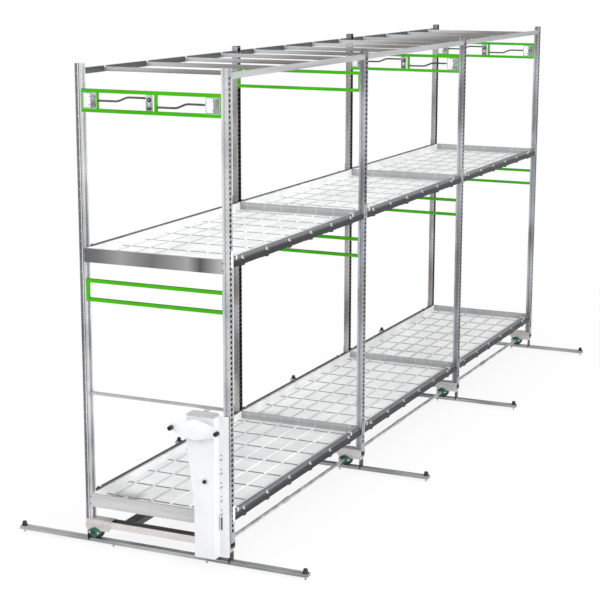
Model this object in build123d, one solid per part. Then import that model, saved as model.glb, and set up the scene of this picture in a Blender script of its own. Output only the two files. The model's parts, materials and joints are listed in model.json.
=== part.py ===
from build123d import *
from math import cos, radians, sin
import os

os.makedirs("parts", exist_ok=True)

# Sizes are millimetres. X runs across the rack, Y along it away from the handle, Z up from the floor.
quarter_turn = 90.0
full_turn = 360.0
cut_margin = 2.0            # a cutting block runs this far past the face it opens
running_gap = 0.05          # radial clearance where one piece turns or slides in another
fixed_gap = 0.02            # radial clearance of a piece clamped on its shaft
clear_gap = 0.3             # gap between moving pieces that must never touch

# Length of the whole rack, from the tip of the grips to the rear end of the drive shaft
bay_length = 2440.0
bay_count = 3
front_reach = 212.0
rear_reach = 80.0
overall_length = front_reach + bay_count * bay_length + rear_reach
front_row = front_reach - overall_length / 2
rows = [front_row + i * bay_length for i in range(bay_count + 1)]
bays = list(zip(rows[:-1], rows[1:]))
sides = (-1, 1)

# Floor rails, their levelling studs and rubber stops
stud_height = 25.0
stud_radius = 8.0
stud_shank_radius = 5.0
stud_shank_length = 10.0
rail_length = 2410.0
stop_inset = 25.0
stop_x = rail_length / 2 - stop_inset
inner_stud_share = 1 / 3
inner_stud_x = stop_x * inner_stud_share
rail_width = 58.0
rail_height = 25.0
rail_top = stud_height + rail_height
rail_rib_width = 18.0
rail_side_wall = 8.0
rail_plate = 10.0
rail_groove_inner = 15.0
rail_groove_outer = 21.0
rail_groove_depth = 2.0
toe_groove_depth = 4.0
toe_groove_low = 9.0
toe_groove_high = 17.0
stop_flange_radius = 24.0
stop_flange_height = 5.0
stop_body_radius = 21.0
stop_top_radius = 16.0
stop_height = 33.0
stop_stem_radius = 4.0
stop_stem_length = 8.0

# Wheels and their axles
wheel_radius = 58.0
wheel_width = 28.0
wheel_recess_outer = 48.0
wheel_recess_inner = 26.0
wheel_recess_depth = 5.0
axle_radius = 15.0
axle_bore_radius = 11.0
axle_z = rail_top + clear_gap + wheel_radius
idler_x = -529.0
drive_x = 455.0
axle_overhang = 66.0

# Carriage: an open channel across the rack under every row of posts, with a capped bracket at each end
half_width = 605.0
carriage_half_depth = 39.0
carriage_wall = 3.0
carriage_bottom = rail_top + 100.0
carriage_top = rail_top + 153.0
wheel_slot_half_length = 50.0
wheel_slot_half_width = 20.0
bracket_inner_x = 390.0
bracket_half_depth = carriage_half_depth + carriage_wall
bracket_top = carriage_top + carriage_wall
bracket_bottom = rail_top + 72.0
bracket_corner_inner = 20.0
bracket_corner_outer = 11.0
bracket_corner_height = 22.0
lobe_radius = 37.0
axle_hole_radius = 19.0
saddle_outer_x = 592.5
saddle_thickness = 4.5
saddle_half_depth = 40.0
saddle_top = rail_top + 63.0
saddle_rail_gap = 2.0
saddle_toe_reach = 3.5
saddle_toe_thickness = 4.0
saddle_toe_bottom = toe_groove_low + saddle_rail_gap
strip_top = rail_top + 82.0
strip_inner_x = saddle_outer_x - saddle_thickness
tie_left_x = -320.0
tie_right_x = -229.0
tie_bottom = rail_top + 103.0
tie_top = rail_top + 148.0

# Two-bolt bearings on both faces of every bracket
bearing_half_length = 54.0
bearing_half_height = 36.5
bearing_ear_radius = 18.0
bearing_ear_thickness = 12.0
bearing_thickness = 22.0
bearing_boss_radius = 27.0
bearing_bolt_x = bearing_half_length - bearing_ear_radius
bolt_shank_radius = 5.0
bolt_hole_radius = 5.5
bolt_head_radius = 8.5
bolt_head_height = 7.0
bolt_nut_height = 8.0
hex_sides = 6

# Posts: slotted open sections with the open side facing inward
post_width = 50.0
post_depth = 62.0
post_wall = 2.5
post_lip = 12.0
post_top = rail_top + 3523.0
post_inner_x = half_width - post_width
slot_width = 28.0
slot_height = 25.0
slot_pitch = 37.5
slot_margin = 60.0
dot_radius = 3.0
dot_spacing = 21.0
dot_pitch = 75.0
post_groove_width = 7.0
post_groove_depth = 0.8
shoe_half_depth = 30.0
shoe_thickness = 3.0
shoe_bottom = rail_top + 135.0
shoe_top = rail_top + 217.0

# Shelf levels: side beams, their end connectors, the bars under the trays
lower_level = rail_top + 291.0
level_spacing = 1851.0
mid_level = lower_level + level_spacing
beam_low_height = 38.0
beam_height = 62.0
beam_step = 14.0
beam_wall = 2.0
connector_wall = 3.0
connector_height = 118.0
connector_back = 31.0
bar_first = 203.0
bar_pitch = 390.0
bar_count = 6
bar_width = 40.0
bar_height = 10.0
bar_wall = 2.0
bar_crank_gap = 2.0
clip_width = 19.0
clip_height = 20.0
clip_wall = 2.0
tray_clip_front = 115.0
tray_clip_rear = 230.0
tray_clip_low = 44.0
tray_clip_reach = 8.0

# Trays
tray_half_width = 550.0
tray_wall = 4.0
tray_end_gap = 2.0
tray_outer_end = 29.0
tray_rim = 70.0
tray_flange_half = 566.0
tray_flange_end = 38.0
tray_pad_height = 6.0
channel_width = 14.0
channel_pitch_x = 161.0
channel_count_x = 7
channel_first_y = 176.0
channel_pitch_y = 312.0
end_rib_width = 8.0
end_rib_depth = 3.0
well_left_x = -505.0
well_right_x = -250.0
well_front = 134.0
well_rear = 203.0
drain_x = -378.0
drain_y = 158.0
drain_neck_radius = 14.0
drain_radius = 12.5
drain_bore_radius = 10.0
drain_flange_radius = 22.0
drain_flange_height = 2.0
drain_length = 30.0
strainer_hole_radius = 1.5
strainer_ring_radius = 6.0
strainer_ring_count = 6
drain_gap = 0.2

# Fascias closing the two ends of every shelf level
fascia_half_width = 563.0
fascia_thickness = 3.0
fascia_below = 40.0
fascia_above = 60.0
fascia_return = 18.0
fascia_screw_inset = 4.0
screw_radius = 2.0
screw_head_radius = 3.8
screw_head_height = 2.5
screw_low = 18.0
screw_high = 38.0

# Top of the rack: side beams and the cross bars with hanger holes
top_beam_drop = 78.0
top_beam_bottom = post_top - top_beam_drop
top_beam_size = 40.0
top_beam_inner_x = 562.0
cross_bar_shares = (1 / 8, 3 / 8, 5 / 8, 7 / 8)
cross_bar_width = 30.0
cross_bar_height = 30.0
cross_bar_wall = 2.5
cross_bar_lift = 5.0
cross_bar_bottom = top_beam_bottom + cross_bar_lift
cross_bar_lip = 8.0
hanger_hole_x = 450.0
hanger_hole_radius = 4.25
bracket_plate_width = 22.0
bracket_plate_height = 45.0
bracket_plate_thickness = 3.0

# Rectangular frames between the posts, and the boxes and rods of the raising gear in three of them
frame_bar = 25.0
frame_wall = 1.5
frame_front = -30.0
frame_height = 164.0
upper_end_width = 12.0
upper_frame_drop = 341.0
upper_frame_bottom = post_top - upper_frame_drop
lower_left_end_width = 18.0
lower_right_end_width = 3.0
lower_frame_drop = 327.0
lower_frame_bottom = mid_level - lower_frame_drop
strap_left_width = 8.0
strap_centre_width = 16.0
gear_rows = (0, 2, 3)
box_depth = 23.0
box_wall = 2.0
side_box_width = 110.0
box_plate_inset = 14.0
box_plate_depth = 10.0
centre_box_half_width = 34.0
gear_knob_radius = 17.0
gear_knob_height = 8.0
gear_knob_below_top = 36.0
rod_half_height = 6.5
rod_depth = 13.0
rod_rise = 31.0
rod_low_left_z = upper_frame_bottom + 83.0
rod_low_right_z = upper_frame_bottom + 54.0
rod_bend_left_x = -264.0
rod_bend_right_x = 205.0
rod_bend_length = 75.0

# Brace tube behind the column
brace_bottom = rail_top + 1110.0
brace_size = 20.0
brace_wall = 2.0
brace_plate_half_depth = 27.0
brace_plate_overhang = 10.0

# Drive column, its back plate and cap
column_front = -120.0
column_back = -36.0
column_wall = 2.5
column_right_x = 523.5
column_left_top_x = 304.5
column_left_waist_x = 300.5
column_left_foot_x = 360.5
column_bottom = rail_top + 35.0
column_foot_top = rail_top + 398.0
column_waist = rail_top + 899.0
column_top = rail_top + 1082.0
column_plate_thickness = 2.0
column_plate_bottom = rail_top + 165.0
side_flange_right_x = 601.0
side_flange_hole_x = 590.0
side_flange_hole_radius = 3.0
side_flange_hole_first = rail_top + 100.0
side_flange_hole_pitch = 75.0
side_flange_hole_count = 13
cap_step_height = 10.0
cap_step_inset = 11.0
cap_overhang = 1.5
hanger_bracket_left_x = 400.0
hanger_bracket_right_x = 440.0
hanger_bracket_thickness = 5.0
mark_inset = 14.0
mark_radius = 3.5
mark_top = rail_top + 794.0
mark_pitch = 102.0
mark_count = 5
mark_drop = 35.0
mark_slot_length = 16.0
mark_slot_width = 4.0
mark_slot_angle = 35.0
side_slot_bottom = rail_top + 236.0
side_slot_length = 98.0
side_slot_width = 10.0

# Chain drive between the handle and the shaft
chain_pitch = 9.525
drive_teeth = 13
hub_teeth = 10
tooth_height = 2.3
tooth_root = 3.1
tooth_shares = (-0.32, -0.13, 0.13, 0.32)
sprocket_half_width = 3.0
sprocket_y = -80.0
chain_gap = 0.5
chain_thickness = 4.0
drive_stub_radius = 8.0
drive_stub_end = -100.0
drive_collar_radius = 13.0
drive_collar_length = 8.0
coupling_radius = 19.0
coupling_half_length = 50.0

# Handle, grips and lock knob
hub_x = 395.0
hub_z = rail_top + 995.0
hub_radius = 10.0
hub_gap = 2.0
hub_shaft_end = -40.0
hub_ring_radius = 30.0
hub_ring_length = 20.0
hub_boss_radius = 25.0
rear_boss_radius = 20.0
rear_boss_length = 14.0
hub_washer_radius = 20.0
hub_washer_height = 4.0
handle_front = -165.0
handle_thickness = 6.0
grip_axis_radius = 183.0
handle_half_height = 77.0
handle_end_radius = 28.0
handle_crown_radius = 30.0
grip_radius = 16.5
grip_back = -169.7
grip_length = 39.0
grip_edge = 4.0
pin_radius = 5.0
pin_head_radius = 9.0
pin_nut_height = 5.0
knob_x = 449.0
knob_z = rail_top + 611.0
knob_radius = 15.0
knob_front = -140.0
knob_edge = 3.0
knob_pin_radius = 5.0
knob_pin_end = -92.0
knob_travel = 12.0


def block(x0, x1, y0, y1, z0, z1):
    return Pos((x0 + x1) / 2, (y0 + y1) / 2, (z0 + z1) / 2) * Box(abs(x1 - x0), abs(y1 - y0), abs(z1 - z0))


def disc_y(x, z, radius, y0, y1):
    return Pos(x, (y0 + y1) / 2, z) * Rot(quarter_turn, 0, 0) * Cylinder(radius, abs(y1 - y0))


def disc_x(y, z, radius, x0, x1):
    return Pos((x0 + x1) / 2, y, z) * Rot(0, quarter_turn, 0) * Cylinder(radius, abs(x1 - x0))


def disc_z(x, y, radius, z0, z1):
    return Pos(x, y, (z0 + z1) / 2) * Cylinder(radius, abs(z1 - z0))


def slab_y(sketch, y0, y1):
    return Pos(0, min(y0, y1), 0) * extrude(Plane.XZ * sketch, amount=abs(y1 - y0), dir=Axis.Y.direction)


def outline(points):
    return Polygon(*points, align=None)


def rounded(circles):
    edges = []
    for x, z, radius in circles:
        edges += (Pos(x, z) * Circle(radius)).edges()
    return make_hull(edges)


def save(name, pieces):
    solids = []
    for piece in pieces:
        solids += piece.solids()
    export_step(Compound(solids), "parts/" + name + ".step")


def at_rows(piece):
    return [Pos(0, y, 0) * piece for y in rows]


# Floor rails
rail_bottom = stud_height
rail = block(-rail_length / 2, rail_length / 2, -rail_width / 2, rail_width / 2, rail_bottom, rail_top)
for side in sides:
    under = block(
        -rail_length / 2 - cut_margin,
        rail_length / 2 + cut_margin,
        side * rail_rib_width / 2,
        side * (rail_width / 2 - rail_side_wall),
        rail_bottom - cut_margin,
        rail_top - rail_plate,
    )
    groove = block(
        -rail_length / 2 - cut_margin,
        rail_length / 2 + cut_margin,
        side * rail_groove_inner,
        side * rail_groove_outer,
        rail_top - rail_groove_depth,
        rail_top + cut_margin,
    )
    toe_groove = block(
        -rail_length / 2 - cut_margin,
        rail_length / 2 + cut_margin,
        side * (rail_width / 2 - toe_groove_depth),
        side * (rail_width / 2 + cut_margin),
        rail_bottom + toe_groove_low,
        rail_bottom + toe_groove_high,
    )
    rail = rail - under - groove - toe_groove
stud = disc_z(0, 0, stud_radius, 0, stud_height)
stud = stud + disc_z(0, 0, stud_shank_radius, stud_height, stud_height + stud_shank_length)
stop = disc_z(0, 0, stop_flange_radius, rail_top, rail_top + stop_flange_height)
stop_cone_height = stop_height - stop_flange_height
stop_cone = Cone(stop_body_radius, stop_top_radius, stop_cone_height)
stop = stop + Pos(0, 0, rail_top + stop_flange_height + stop_cone_height / 2) * stop_cone
stop = stop + disc_z(0, 0, stop_stem_radius, rail_top - stop_stem_length, rail_top)
stud_xs = (-stop_x, -inner_stud_x, inner_stud_x, stop_x)
for x in stud_xs:
    stud_hole_top = stud_height + stud_shank_length + clear_gap
    rail = rail - disc_z(x, 0, stud_shank_radius + running_gap, rail_bottom - cut_margin, stud_hole_top)
for x in (-stop_x, stop_x):
    stem_hole_bottom = rail_top - stop_stem_length - clear_gap
    rail = rail - disc_z(x, 0, stop_stem_radius + running_gap, stem_hole_bottom, rail_top + cut_margin)
save("floor_rails", at_rows(rail))
save("levelling_studs", [Pos(x, y, 0) * stud for x in stud_xs for y in rows])
save("rail_stops", [Pos(x, y, 0) * stop for x in (-stop_x, stop_x) for y in rows])

# Carriage channels, with a slot above every wheel
carriage = block(
    -half_width, half_width, -carriage_half_depth, carriage_half_depth, carriage_bottom, carriage_top
)
carriage = carriage - block(
    -half_width - cut_margin,
    half_width + cut_margin,
    carriage_wall - carriage_half_depth,
    carriage_half_depth - carriage_wall,
    carriage_bottom + carriage_wall,
    carriage_top + cut_margin,
)
for x in (idler_x, drive_x):
    carriage = carriage - block(
        x - wheel_slot_half_length,
        x + wheel_slot_half_length,
        -wheel_slot_half_width,
        wheel_slot_half_width,
        carriage_bottom - cut_margin,
        carriage_bottom + carriage_wall + cut_margin,
    )
save("carriage_beams", at_rows(carriage))

# End brackets: a top plate and two side plates with a lobe behind each bearing
brackets = []
for side, axle_x in ((-1, idler_x), (1, drive_x)):
    inner = side * bracket_inner_x
    outer = side * half_width
    side_outline = outline([
        (inner, bracket_top),
        (outer, bracket_top),
        (outer, bracket_bottom + bracket_corner_height),
        (outer - side * bracket_corner_outer, bracket_bottom),
        (inner + side * bracket_corner_inner, bracket_bottom),
        (inner, bracket_bottom + bracket_corner_height),
    ])
    lobe = rounded([
        (axle_x - bearing_bolt_x, axle_z, bearing_ear_radius),
        (axle_x + bearing_bolt_x, axle_z, bearing_ear_radius),
        (axle_x, axle_z, lobe_radius),
        (axle_x - bearing_bolt_x, bracket_bottom, bearing_ear_radius),
        (axle_x + bearing_bolt_x, bracket_bottom, bearing_ear_radius),
    ])
    bracket = block(inner, outer, -bracket_half_depth, bracket_half_depth, carriage_top, bracket_top)
    for face in sides:
        near = face * carriage_half_depth
        far = face * bracket_half_depth
        plate = slab_y(side_outline, near, far) + slab_y(lobe, near, far)
        hole_near = near - face * cut_margin
        hole_far = far + face * cut_margin
        plate = plate - disc_y(axle_x, axle_z, axle_hole_radius, hole_near, hole_far)
        for bolt_x in (axle_x - bearing_bolt_x, axle_x + bearing_bolt_x):
            plate = plate - disc_y(bolt_x, axle_z, bolt_hole_radius, hole_near, hole_far)
        bracket = bracket + plate
    strip_outer_x = half_width - bracket_corner_outer
    strip = block(
        side * strip_inner_x,
        side * strip_outer_x,
        -carriage_half_depth,
        carriage_half_depth,
        saddle_top,
        strip_top,
    )
    brackets += at_rows(bracket + strip)
save("carriage_end_brackets", brackets)

# Anti-tip saddles astride the rails
leg_inner = rail_width / 2 + saddle_rail_gap
toe_inner = leg_inner - saddle_rail_gap - saddle_toe_reach
toe_low = rail_bottom + saddle_toe_bottom
saddle = block(strip_inner_x, saddle_outer_x, -saddle_half_depth, saddle_half_depth, toe_low, saddle_top)
saddle = saddle - block(
    strip_inner_x - cut_margin,
    saddle_outer_x + cut_margin,
    -leg_inner,
    leg_inner,
    toe_low - cut_margin,
    rail_top + saddle_rail_gap,
)
for face in sides:
    toe = block(
        strip_inner_x,
        saddle_outer_x,
        face * toe_inner,
        face * leg_inner,
        toe_low,
        toe_low + saddle_toe_thickness,
    )
    saddle = saddle + toe
save("anti_tip_saddles", at_rows(saddle) + at_rows(mirror(saddle, about=Plane.YZ)))

# Ties from carriage to carriage
ties = []
for start, end in bays:
    tie_front = start + carriage_half_depth
    tie_rear = end - carriage_half_depth
    tie = block(tie_left_x, tie_right_x, tie_front, tie_rear, tie_bottom, tie_top)
    ties.append(tie - block(
        tie_left_x + carriage_wall,
        tie_right_x - carriage_wall,
        start,
        end,
        tie_bottom - cut_margin,
        tie_top - carriage_wall,
    ))
save("carriage_ties", ties)

# Bearings and the bolts that hold them
ear_sketch = rounded([
    (-bearing_bolt_x, 0, bearing_ear_radius),
    (bearing_bolt_x, 0, bearing_ear_radius),
    (0, 0, bearing_half_height),
])
bearing = slab_y(ear_sketch, -bearing_ear_thickness, 0)
bearing = bearing + disc_y(0, 0, bearing_boss_radius, -bearing_thickness, -bearing_ear_thickness)
bearing = bearing - disc_y(0, 0, axle_radius + running_gap, -bearing_thickness - cut_margin, cut_margin)
for x in (-bearing_bolt_x, bearing_bolt_x):
    bearing = bearing - disc_y(x, 0, bolt_hole_radius, -bearing_thickness, cut_margin)
rear_bearing = mirror(bearing, about=Plane.XZ)
hex_head = RegularPolygon(bolt_head_radius, hex_sides)
nut_back = carriage_wall + bolt_nut_height
bolt = slab_y(hex_head, -bearing_ear_thickness - bolt_head_height, -bearing_ear_thickness)
bolt = bolt + disc_y(0, 0, bolt_shank_radius, -bearing_ear_thickness, carriage_wall)
bolt = bolt + slab_y(hex_head, carriage_wall, nut_back)
rear_bolt = mirror(bolt, about=Plane.XZ)


def bearings_at(x):
    front = [Pos(x, y - bracket_half_depth, axle_z) * bearing for y in rows]
    rear = [Pos(x, y + bracket_half_depth, axle_z) * rear_bearing for y in rows]
    return front + rear


bolts = []
for x in (idler_x, drive_x):
    for shift in (-bearing_bolt_x, bearing_bolt_x):
        bolts += [Pos(x + shift, y - bracket_half_depth, axle_z) * bolt for y in rows]
        bolts += [Pos(x + shift, y + bracket_half_depth, axle_z) * rear_bolt for y in rows]
save("idler_bearings", bearings_at(idler_x))
save("drive_bearings", bearings_at(drive_x))
save("bearing_bolts", bolts)

# Idler wheels, each with its own stub axle
tyre = disc_y(0, axle_z, wheel_radius, -wheel_width / 2, wheel_width / 2)
for face in sides:
    outer_y = face * (wheel_width / 2 + cut_margin)
    inner_y = face * (wheel_width / 2 - wheel_recess_depth)
    recess = disc_y(0, axle_z, wheel_recess_outer, inner_y, outer_y)
    recess = recess - disc_y(
        0, axle_z, wheel_recess_inner, inner_y - face * cut_margin, outer_y + face * cut_margin
    )
    tyre = tyre - recess
stub = disc_y(0, axle_z, axle_radius, -axle_overhang, axle_overhang)
for number, y in enumerate(rows, start=1):
    save("idler_wheel_" + str(number), [Pos(idler_x, y, 0) * (tyre + stub)])

# Drive line: one long shaft with four wheels, sleeves and the lower sprocket
wheel_bore = disc_y(0, axle_z, axle_radius + fixed_gap, -wheel_width, wheel_width)
save("drive_wheels", [Pos(drive_x, y, 0) * (tyre - wheel_bore) for y in rows])
shaft_front = front_row - axle_overhang
shaft_rear = rows[-1] + rear_reach
shaft = disc_y(drive_x, axle_z, axle_radius, shaft_front, shaft_rear)
shaft_solid_length = axle_overhang
shaft = shaft - disc_y(
    drive_x, axle_z, axle_bore_radius, shaft_front + shaft_solid_length, shaft_rear + cut_margin
)
shaft = shaft + disc_y(drive_x, axle_z, drive_stub_radius, front_row + drive_stub_end, shaft_front)
save("drive_shaft", [shaft])
sleeves = []
for start, end in bays:
    middle = (start + end) / 2
    sleeve_front = middle - coupling_half_length
    sleeve_rear = middle + coupling_half_length
    sleeve = disc_y(drive_x, axle_z, coupling_radius, sleeve_front, sleeve_rear)
    sleeves.append(sleeve - disc_y(drive_x, axle_z, axle_radius + fixed_gap, start, end))
save("shaft_couplings", sleeves)


def pitch_radius(teeth):
    return chain_pitch / (2 * sin(radians(full_turn / 2 / teeth)))


def sprocket_sketch(teeth):
    points = []
    for tooth in range(teeth):
        for share in tooth_shares:
            tip = abs(share) < max(tooth_shares)
            radius = pitch_radius(teeth) + (tooth_height if tip else -tooth_root)
            angle = radians((tooth + share) * full_turn / teeth)
            points.append((radius * cos(angle), radius * sin(angle)))
    return outline(points)


sprocket_front = sprocket_y - sprocket_half_width
sprocket_back = sprocket_y + sprocket_half_width
lower_sprocket = slab_y(sprocket_sketch(drive_teeth), sprocket_front, sprocket_back)
collar_back = sprocket_back + drive_collar_length
lower_sprocket = lower_sprocket + disc_y(0, 0, drive_collar_radius, sprocket_back, collar_back)
lower_sprocket = lower_sprocket - disc_y(0, 0, drive_stub_radius + fixed_gap, drive_stub_end, 0)
save("lower_sprocket", [Pos(drive_x, front_row, axle_z) * lower_sprocket])

# Chain: a closed band that stays just clear of the teeth


def band(extra):
    lower_radius = pitch_radius(drive_teeth) + tooth_height + extra
    upper_radius = pitch_radius(hub_teeth) + tooth_height + extra
    return rounded([(drive_x, axle_z, lower_radius), (hub_x, hub_z, upper_radius)])


chain = slab_y(band(chain_gap + chain_thickness), front_row + sprocket_front, front_row + sprocket_back)
chain = chain - slab_y(band(chain_gap), front_row + drive_stub_end, front_row)
save("drive_chain", [chain])

# Posts
post_bottom = bracket_top
post_height = post_top - post_bottom
web_sketch = Rectangle(post_depth, post_height)
slot_count = int((post_height - 2 * slot_margin) / slot_pitch) + 1
slot_first = -(slot_count - 1) * slot_pitch / 2
web_slot = SlotOverall(slot_width, slot_height)
web_slots = [Pos(0, slot_first + i * slot_pitch) * web_slot for i in range(slot_count)]
web_sketch = web_sketch - web_slots
web = extrude(Plane.YZ * web_sketch, amount=post_wall)
flange_sketch = Rectangle(post_width, post_height)
dot_count = int((post_height - 2 * slot_margin) / dot_pitch) + 1
dot_first = -(dot_count - 1) * dot_pitch / 2
dots = []
for column in sides:
    dot_x = column * dot_spacing / 2
    dots += [Pos(dot_x, dot_first + i * dot_pitch) * Circle(dot_radius) for i in range(dot_count)]
plain_flange = slab_y(flange_sketch, 0, post_wall)
dotted_flange = slab_y(flange_sketch - dots, 0, post_wall)
post_middle_z = post_bottom + post_height / 2
post_middle_x = half_width - post_width / 2
post = Pos(half_width - post_wall, 0, post_middle_z) * web
for face, flange in ((-1, dotted_flange), (1, plain_flange)):
    flange_middle = face * (post_depth / 2 - post_wall / 2)
    post = post + Pos(post_middle_x, flange_middle - post_wall / 2, post_middle_z) * flange
    lip_outer = face * post_depth / 2
    lip_inner = face * (post_depth / 2 - post_wall - post_lip)
    post = post + block(post_inner_x, post_inner_x + post_wall, lip_outer, lip_inner, post_bottom, post_top)
    groove_floor = face * (post_depth / 2 - post_groove_depth)
    post = post - block(
        post_middle_x - post_groove_width / 2,
        post_middle_x + post_groove_width / 2,
        groove_floor,
        lip_outer + face * cut_margin,
        post_bottom - cut_margin,
        post_top + cut_margin,
    )
save("uprights_right", at_rows(post))
save("uprights_left", at_rows(mirror(post, about=Plane.YZ)))
shoe_outer = half_width + shoe_thickness
shoe = block(half_width, shoe_outer, -shoe_half_depth, shoe_half_depth, shoe_bottom, shoe_top)
save("post_shoes", at_rows(shoe) + at_rows(mirror(shoe, about=Plane.YZ)))

# Side beams of the two shelf levels, stepped in section and hollow
beam_end = post_depth / 2 + connector_wall
beam_step_x = half_width - beam_step


def beam_outline(level, inset):
    low = level + inset
    step = level + beam_low_height - inset
    high = level + beam_height - inset
    return [
        (post_inner_x + inset, low),
        (half_width - inset, low),
        (half_width - inset, step),
        (beam_step_x - inset, step),
        (beam_step_x - inset, high),
        (post_inner_x + inset, high),
    ]


def side_beams(level):
    beams = []
    for start, end in bays:
        beam = slab_y(outline(beam_outline(level, 0)), start + beam_end, end - beam_end)
        beam = beam - slab_y(outline(beam_outline(level, beam_wall)), start, end)
        beams += [beam, mirror(beam, about=Plane.YZ)]
    return beams


save("shelf_beams_lower", side_beams(lower_level))
save("shelf_beams_mid", side_beams(mid_level))

connectors = []
for level in (lower_level, mid_level):
    for start, end in bays:
        for y, ahead in ((start, 1), (end, -1)):
            face_y = y + ahead * post_depth / 2
            foot_y = y + ahead * beam_end
            top = level + connector_height
            back_y = foot_y - ahead * connector_back
            leg = block(half_width, half_width + connector_wall, back_y, foot_y, level, top)
            leg = leg + block(post_inner_x, half_width, face_y, foot_y, level, level + beam_height)
            connectors += [leg, mirror(leg, about=Plane.YZ)]
save("beam_connectors", connectors)

# Bars under the trays: they pass below the side beams and drop a little between them
bar_ys = [start + bar_first + i * bar_pitch for start, end in bays for i in range(bar_count)]
bar_drop_x = post_inner_x - bar_crank_gap


def bar_at(level, y):
    front = y - bar_width / 2
    rear = y + bar_width / 2
    low = level - 2 * bar_height
    bar = block(-bar_drop_x - bar_height, bar_drop_x + bar_height, front, rear, low, level - bar_height)
    for side in sides:
        bar = bar + block(side * bar_drop_x, side * half_width, front, rear, level - bar_height, level)
    hollow = block(
        -bar_drop_x,
        bar_drop_x,
        front + bar_wall,
        rear - bar_wall,
        low - cut_margin,
        level - bar_height - bar_wall,
    )
    return bar - hollow


save("support_bars_lower", [bar_at(lower_level, y) for y in bar_ys])
save("support_bars_mid", [bar_at(mid_level, y) for y in bar_ys])

clips = []
for level in (lower_level, mid_level):
    ledge = level + beam_low_height
    hook = block(beam_step_x, beam_step_x + clip_wall, -clip_width / 2, clip_width / 2, ledge, ledge + clip_height)
    hook = hook + block(beam_step_x, half_width, -clip_width / 2, clip_width / 2, ledge, ledge + clip_wall)
    clips += [Pos(0, y, 0) * hook for y in bar_ys]
    clips += [Pos(0, y, 0) * mirror(hook, about=Plane.YZ) for y in bar_ys]
    rim = level + tray_rim
    low = level + tray_clip_low
    strap_outer = beam_step_x + clip_wall
    strap = block(beam_step_x, strap_outer, -clip_width / 2, clip_width / 2, low, rim + clip_wall)
    strap = strap + block(
        tray_flange_half - tray_clip_reach, strap_outer, -clip_width / 2, clip_width / 2, rim, rim + clip_wall
    )
    strap_ys = []
    for start, end in bays:
        strap_ys += [start + tray_clip_front, end - tray_clip_rear]
    clips += [Pos(0, y, 0) * strap for y in strap_ys]
    clips += [Pos(0, y, 0) * mirror(strap, about=Plane.YZ) for y in strap_ys]
save("bar_clips", clips)

# Trays: thin walled, with raised pads between drainage channels


def tray_between(bay_start, bay_end, front, rear, level):
    base = level - bar_height
    floor_top = base + tray_wall + tray_pad_height
    rim = level + tray_rim
    inner_half = tray_half_width - tray_wall
    tray = block(-tray_half_width, tray_half_width, front, rear, base, rim)
    tray = tray - block(-inner_half, inner_half, front + tray_wall, rear - tray_wall, floor_top, rim + cut_margin)
    xs = [(i - (channel_count_x - 1) / 2) * channel_pitch_x for i in range(channel_count_x)]
    ys = []
    y = bay_start + channel_first_y
    while y < rear - channel_width:
        ys.append(y)
        y += channel_pitch_y
    groove_bottom = base + tray_wall
    half_channel = channel_width / 2
    cutters = [
        block(x - half_channel, x + half_channel, front + tray_wall, rear - tray_wall, groove_bottom, floor_top)
        for x in xs
    ]
    cutters += [
        block(-inner_half, inner_half, y - half_channel, y + half_channel, groove_bottom, floor_top)
        for y in ys
    ]
    well_start = bay_start + well_front
    well_end = bay_start + well_rear
    cutters.append(block(well_left_x, well_right_x, well_start, well_end, groove_bottom, floor_top))
    pocket_top = floor_top - tray_wall
    pocket_edge = half_channel + tray_wall
    x_edges = [-tray_half_width - half_channel] + xs + [tray_half_width + half_channel]
    y_edges = [front - half_channel] + ys + [rear + half_channel]
    for x0, x1 in zip(x_edges[:-1], x_edges[1:]):
        for y0, y1 in zip(y_edges[:-1], y_edges[1:]):
            over_well = x0 < well_right_x and x1 > well_left_x and y0 < well_end and y1 > well_start
            if not over_well:
                cutters.append(
                    block(
                        x0 + pocket_edge,
                        x1 - pocket_edge,
                        y0 + pocket_edge,
                        y1 - pocket_edge,
                        base - cut_margin,
                        pocket_top,
                    )
                )
    cutters.append(
        disc_z(drain_x, bay_start + drain_y, drain_neck_radius + drain_gap, base - cut_margin, groove_bottom)
    )
    tray = tray - cutters
    extras = []
    flange_front = bay_start + tray_flange_end
    flange_rear = bay_end - tray_flange_end
    beam_top = level + beam_height
    for side in sides:
        wall_x = side * tray_half_width
        edge_x = side * tray_flange_half
        extras.append(block(wall_x, edge_x, flange_front, flange_rear, rim - tray_wall, rim))
        extras.append(block(edge_x - side * tray_wall, edge_x, flange_front, flange_rear, beam_top, rim - tray_wall))
    for x in xs:
        rib_left = x - end_rib_width / 2
        rib_right = x + end_rib_width / 2
        rib_front = front + tray_wall
        rib_rear = rear - tray_wall
        extras.append(block(rib_left, rib_right, rib_front, rib_front + end_rib_depth, groove_bottom, rim))
        extras.append(block(rib_left, rib_right, rib_rear - end_rib_depth, rib_rear, groove_bottom, rim))
    return tray + extras


for number, (start, end) in enumerate(bays, start=1):
    front = start - tray_outer_end if number == 1 else start + tray_end_gap
    rear = end + tray_outer_end if number == bay_count else end - tray_end_gap
    tray = tray_between(start, end, front, rear, lower_level)
    save("tray_lower_" + str(number), [tray])
    save("tray_upper_" + str(number), [Pos(0, 0, mid_level - lower_level) * tray])

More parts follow.
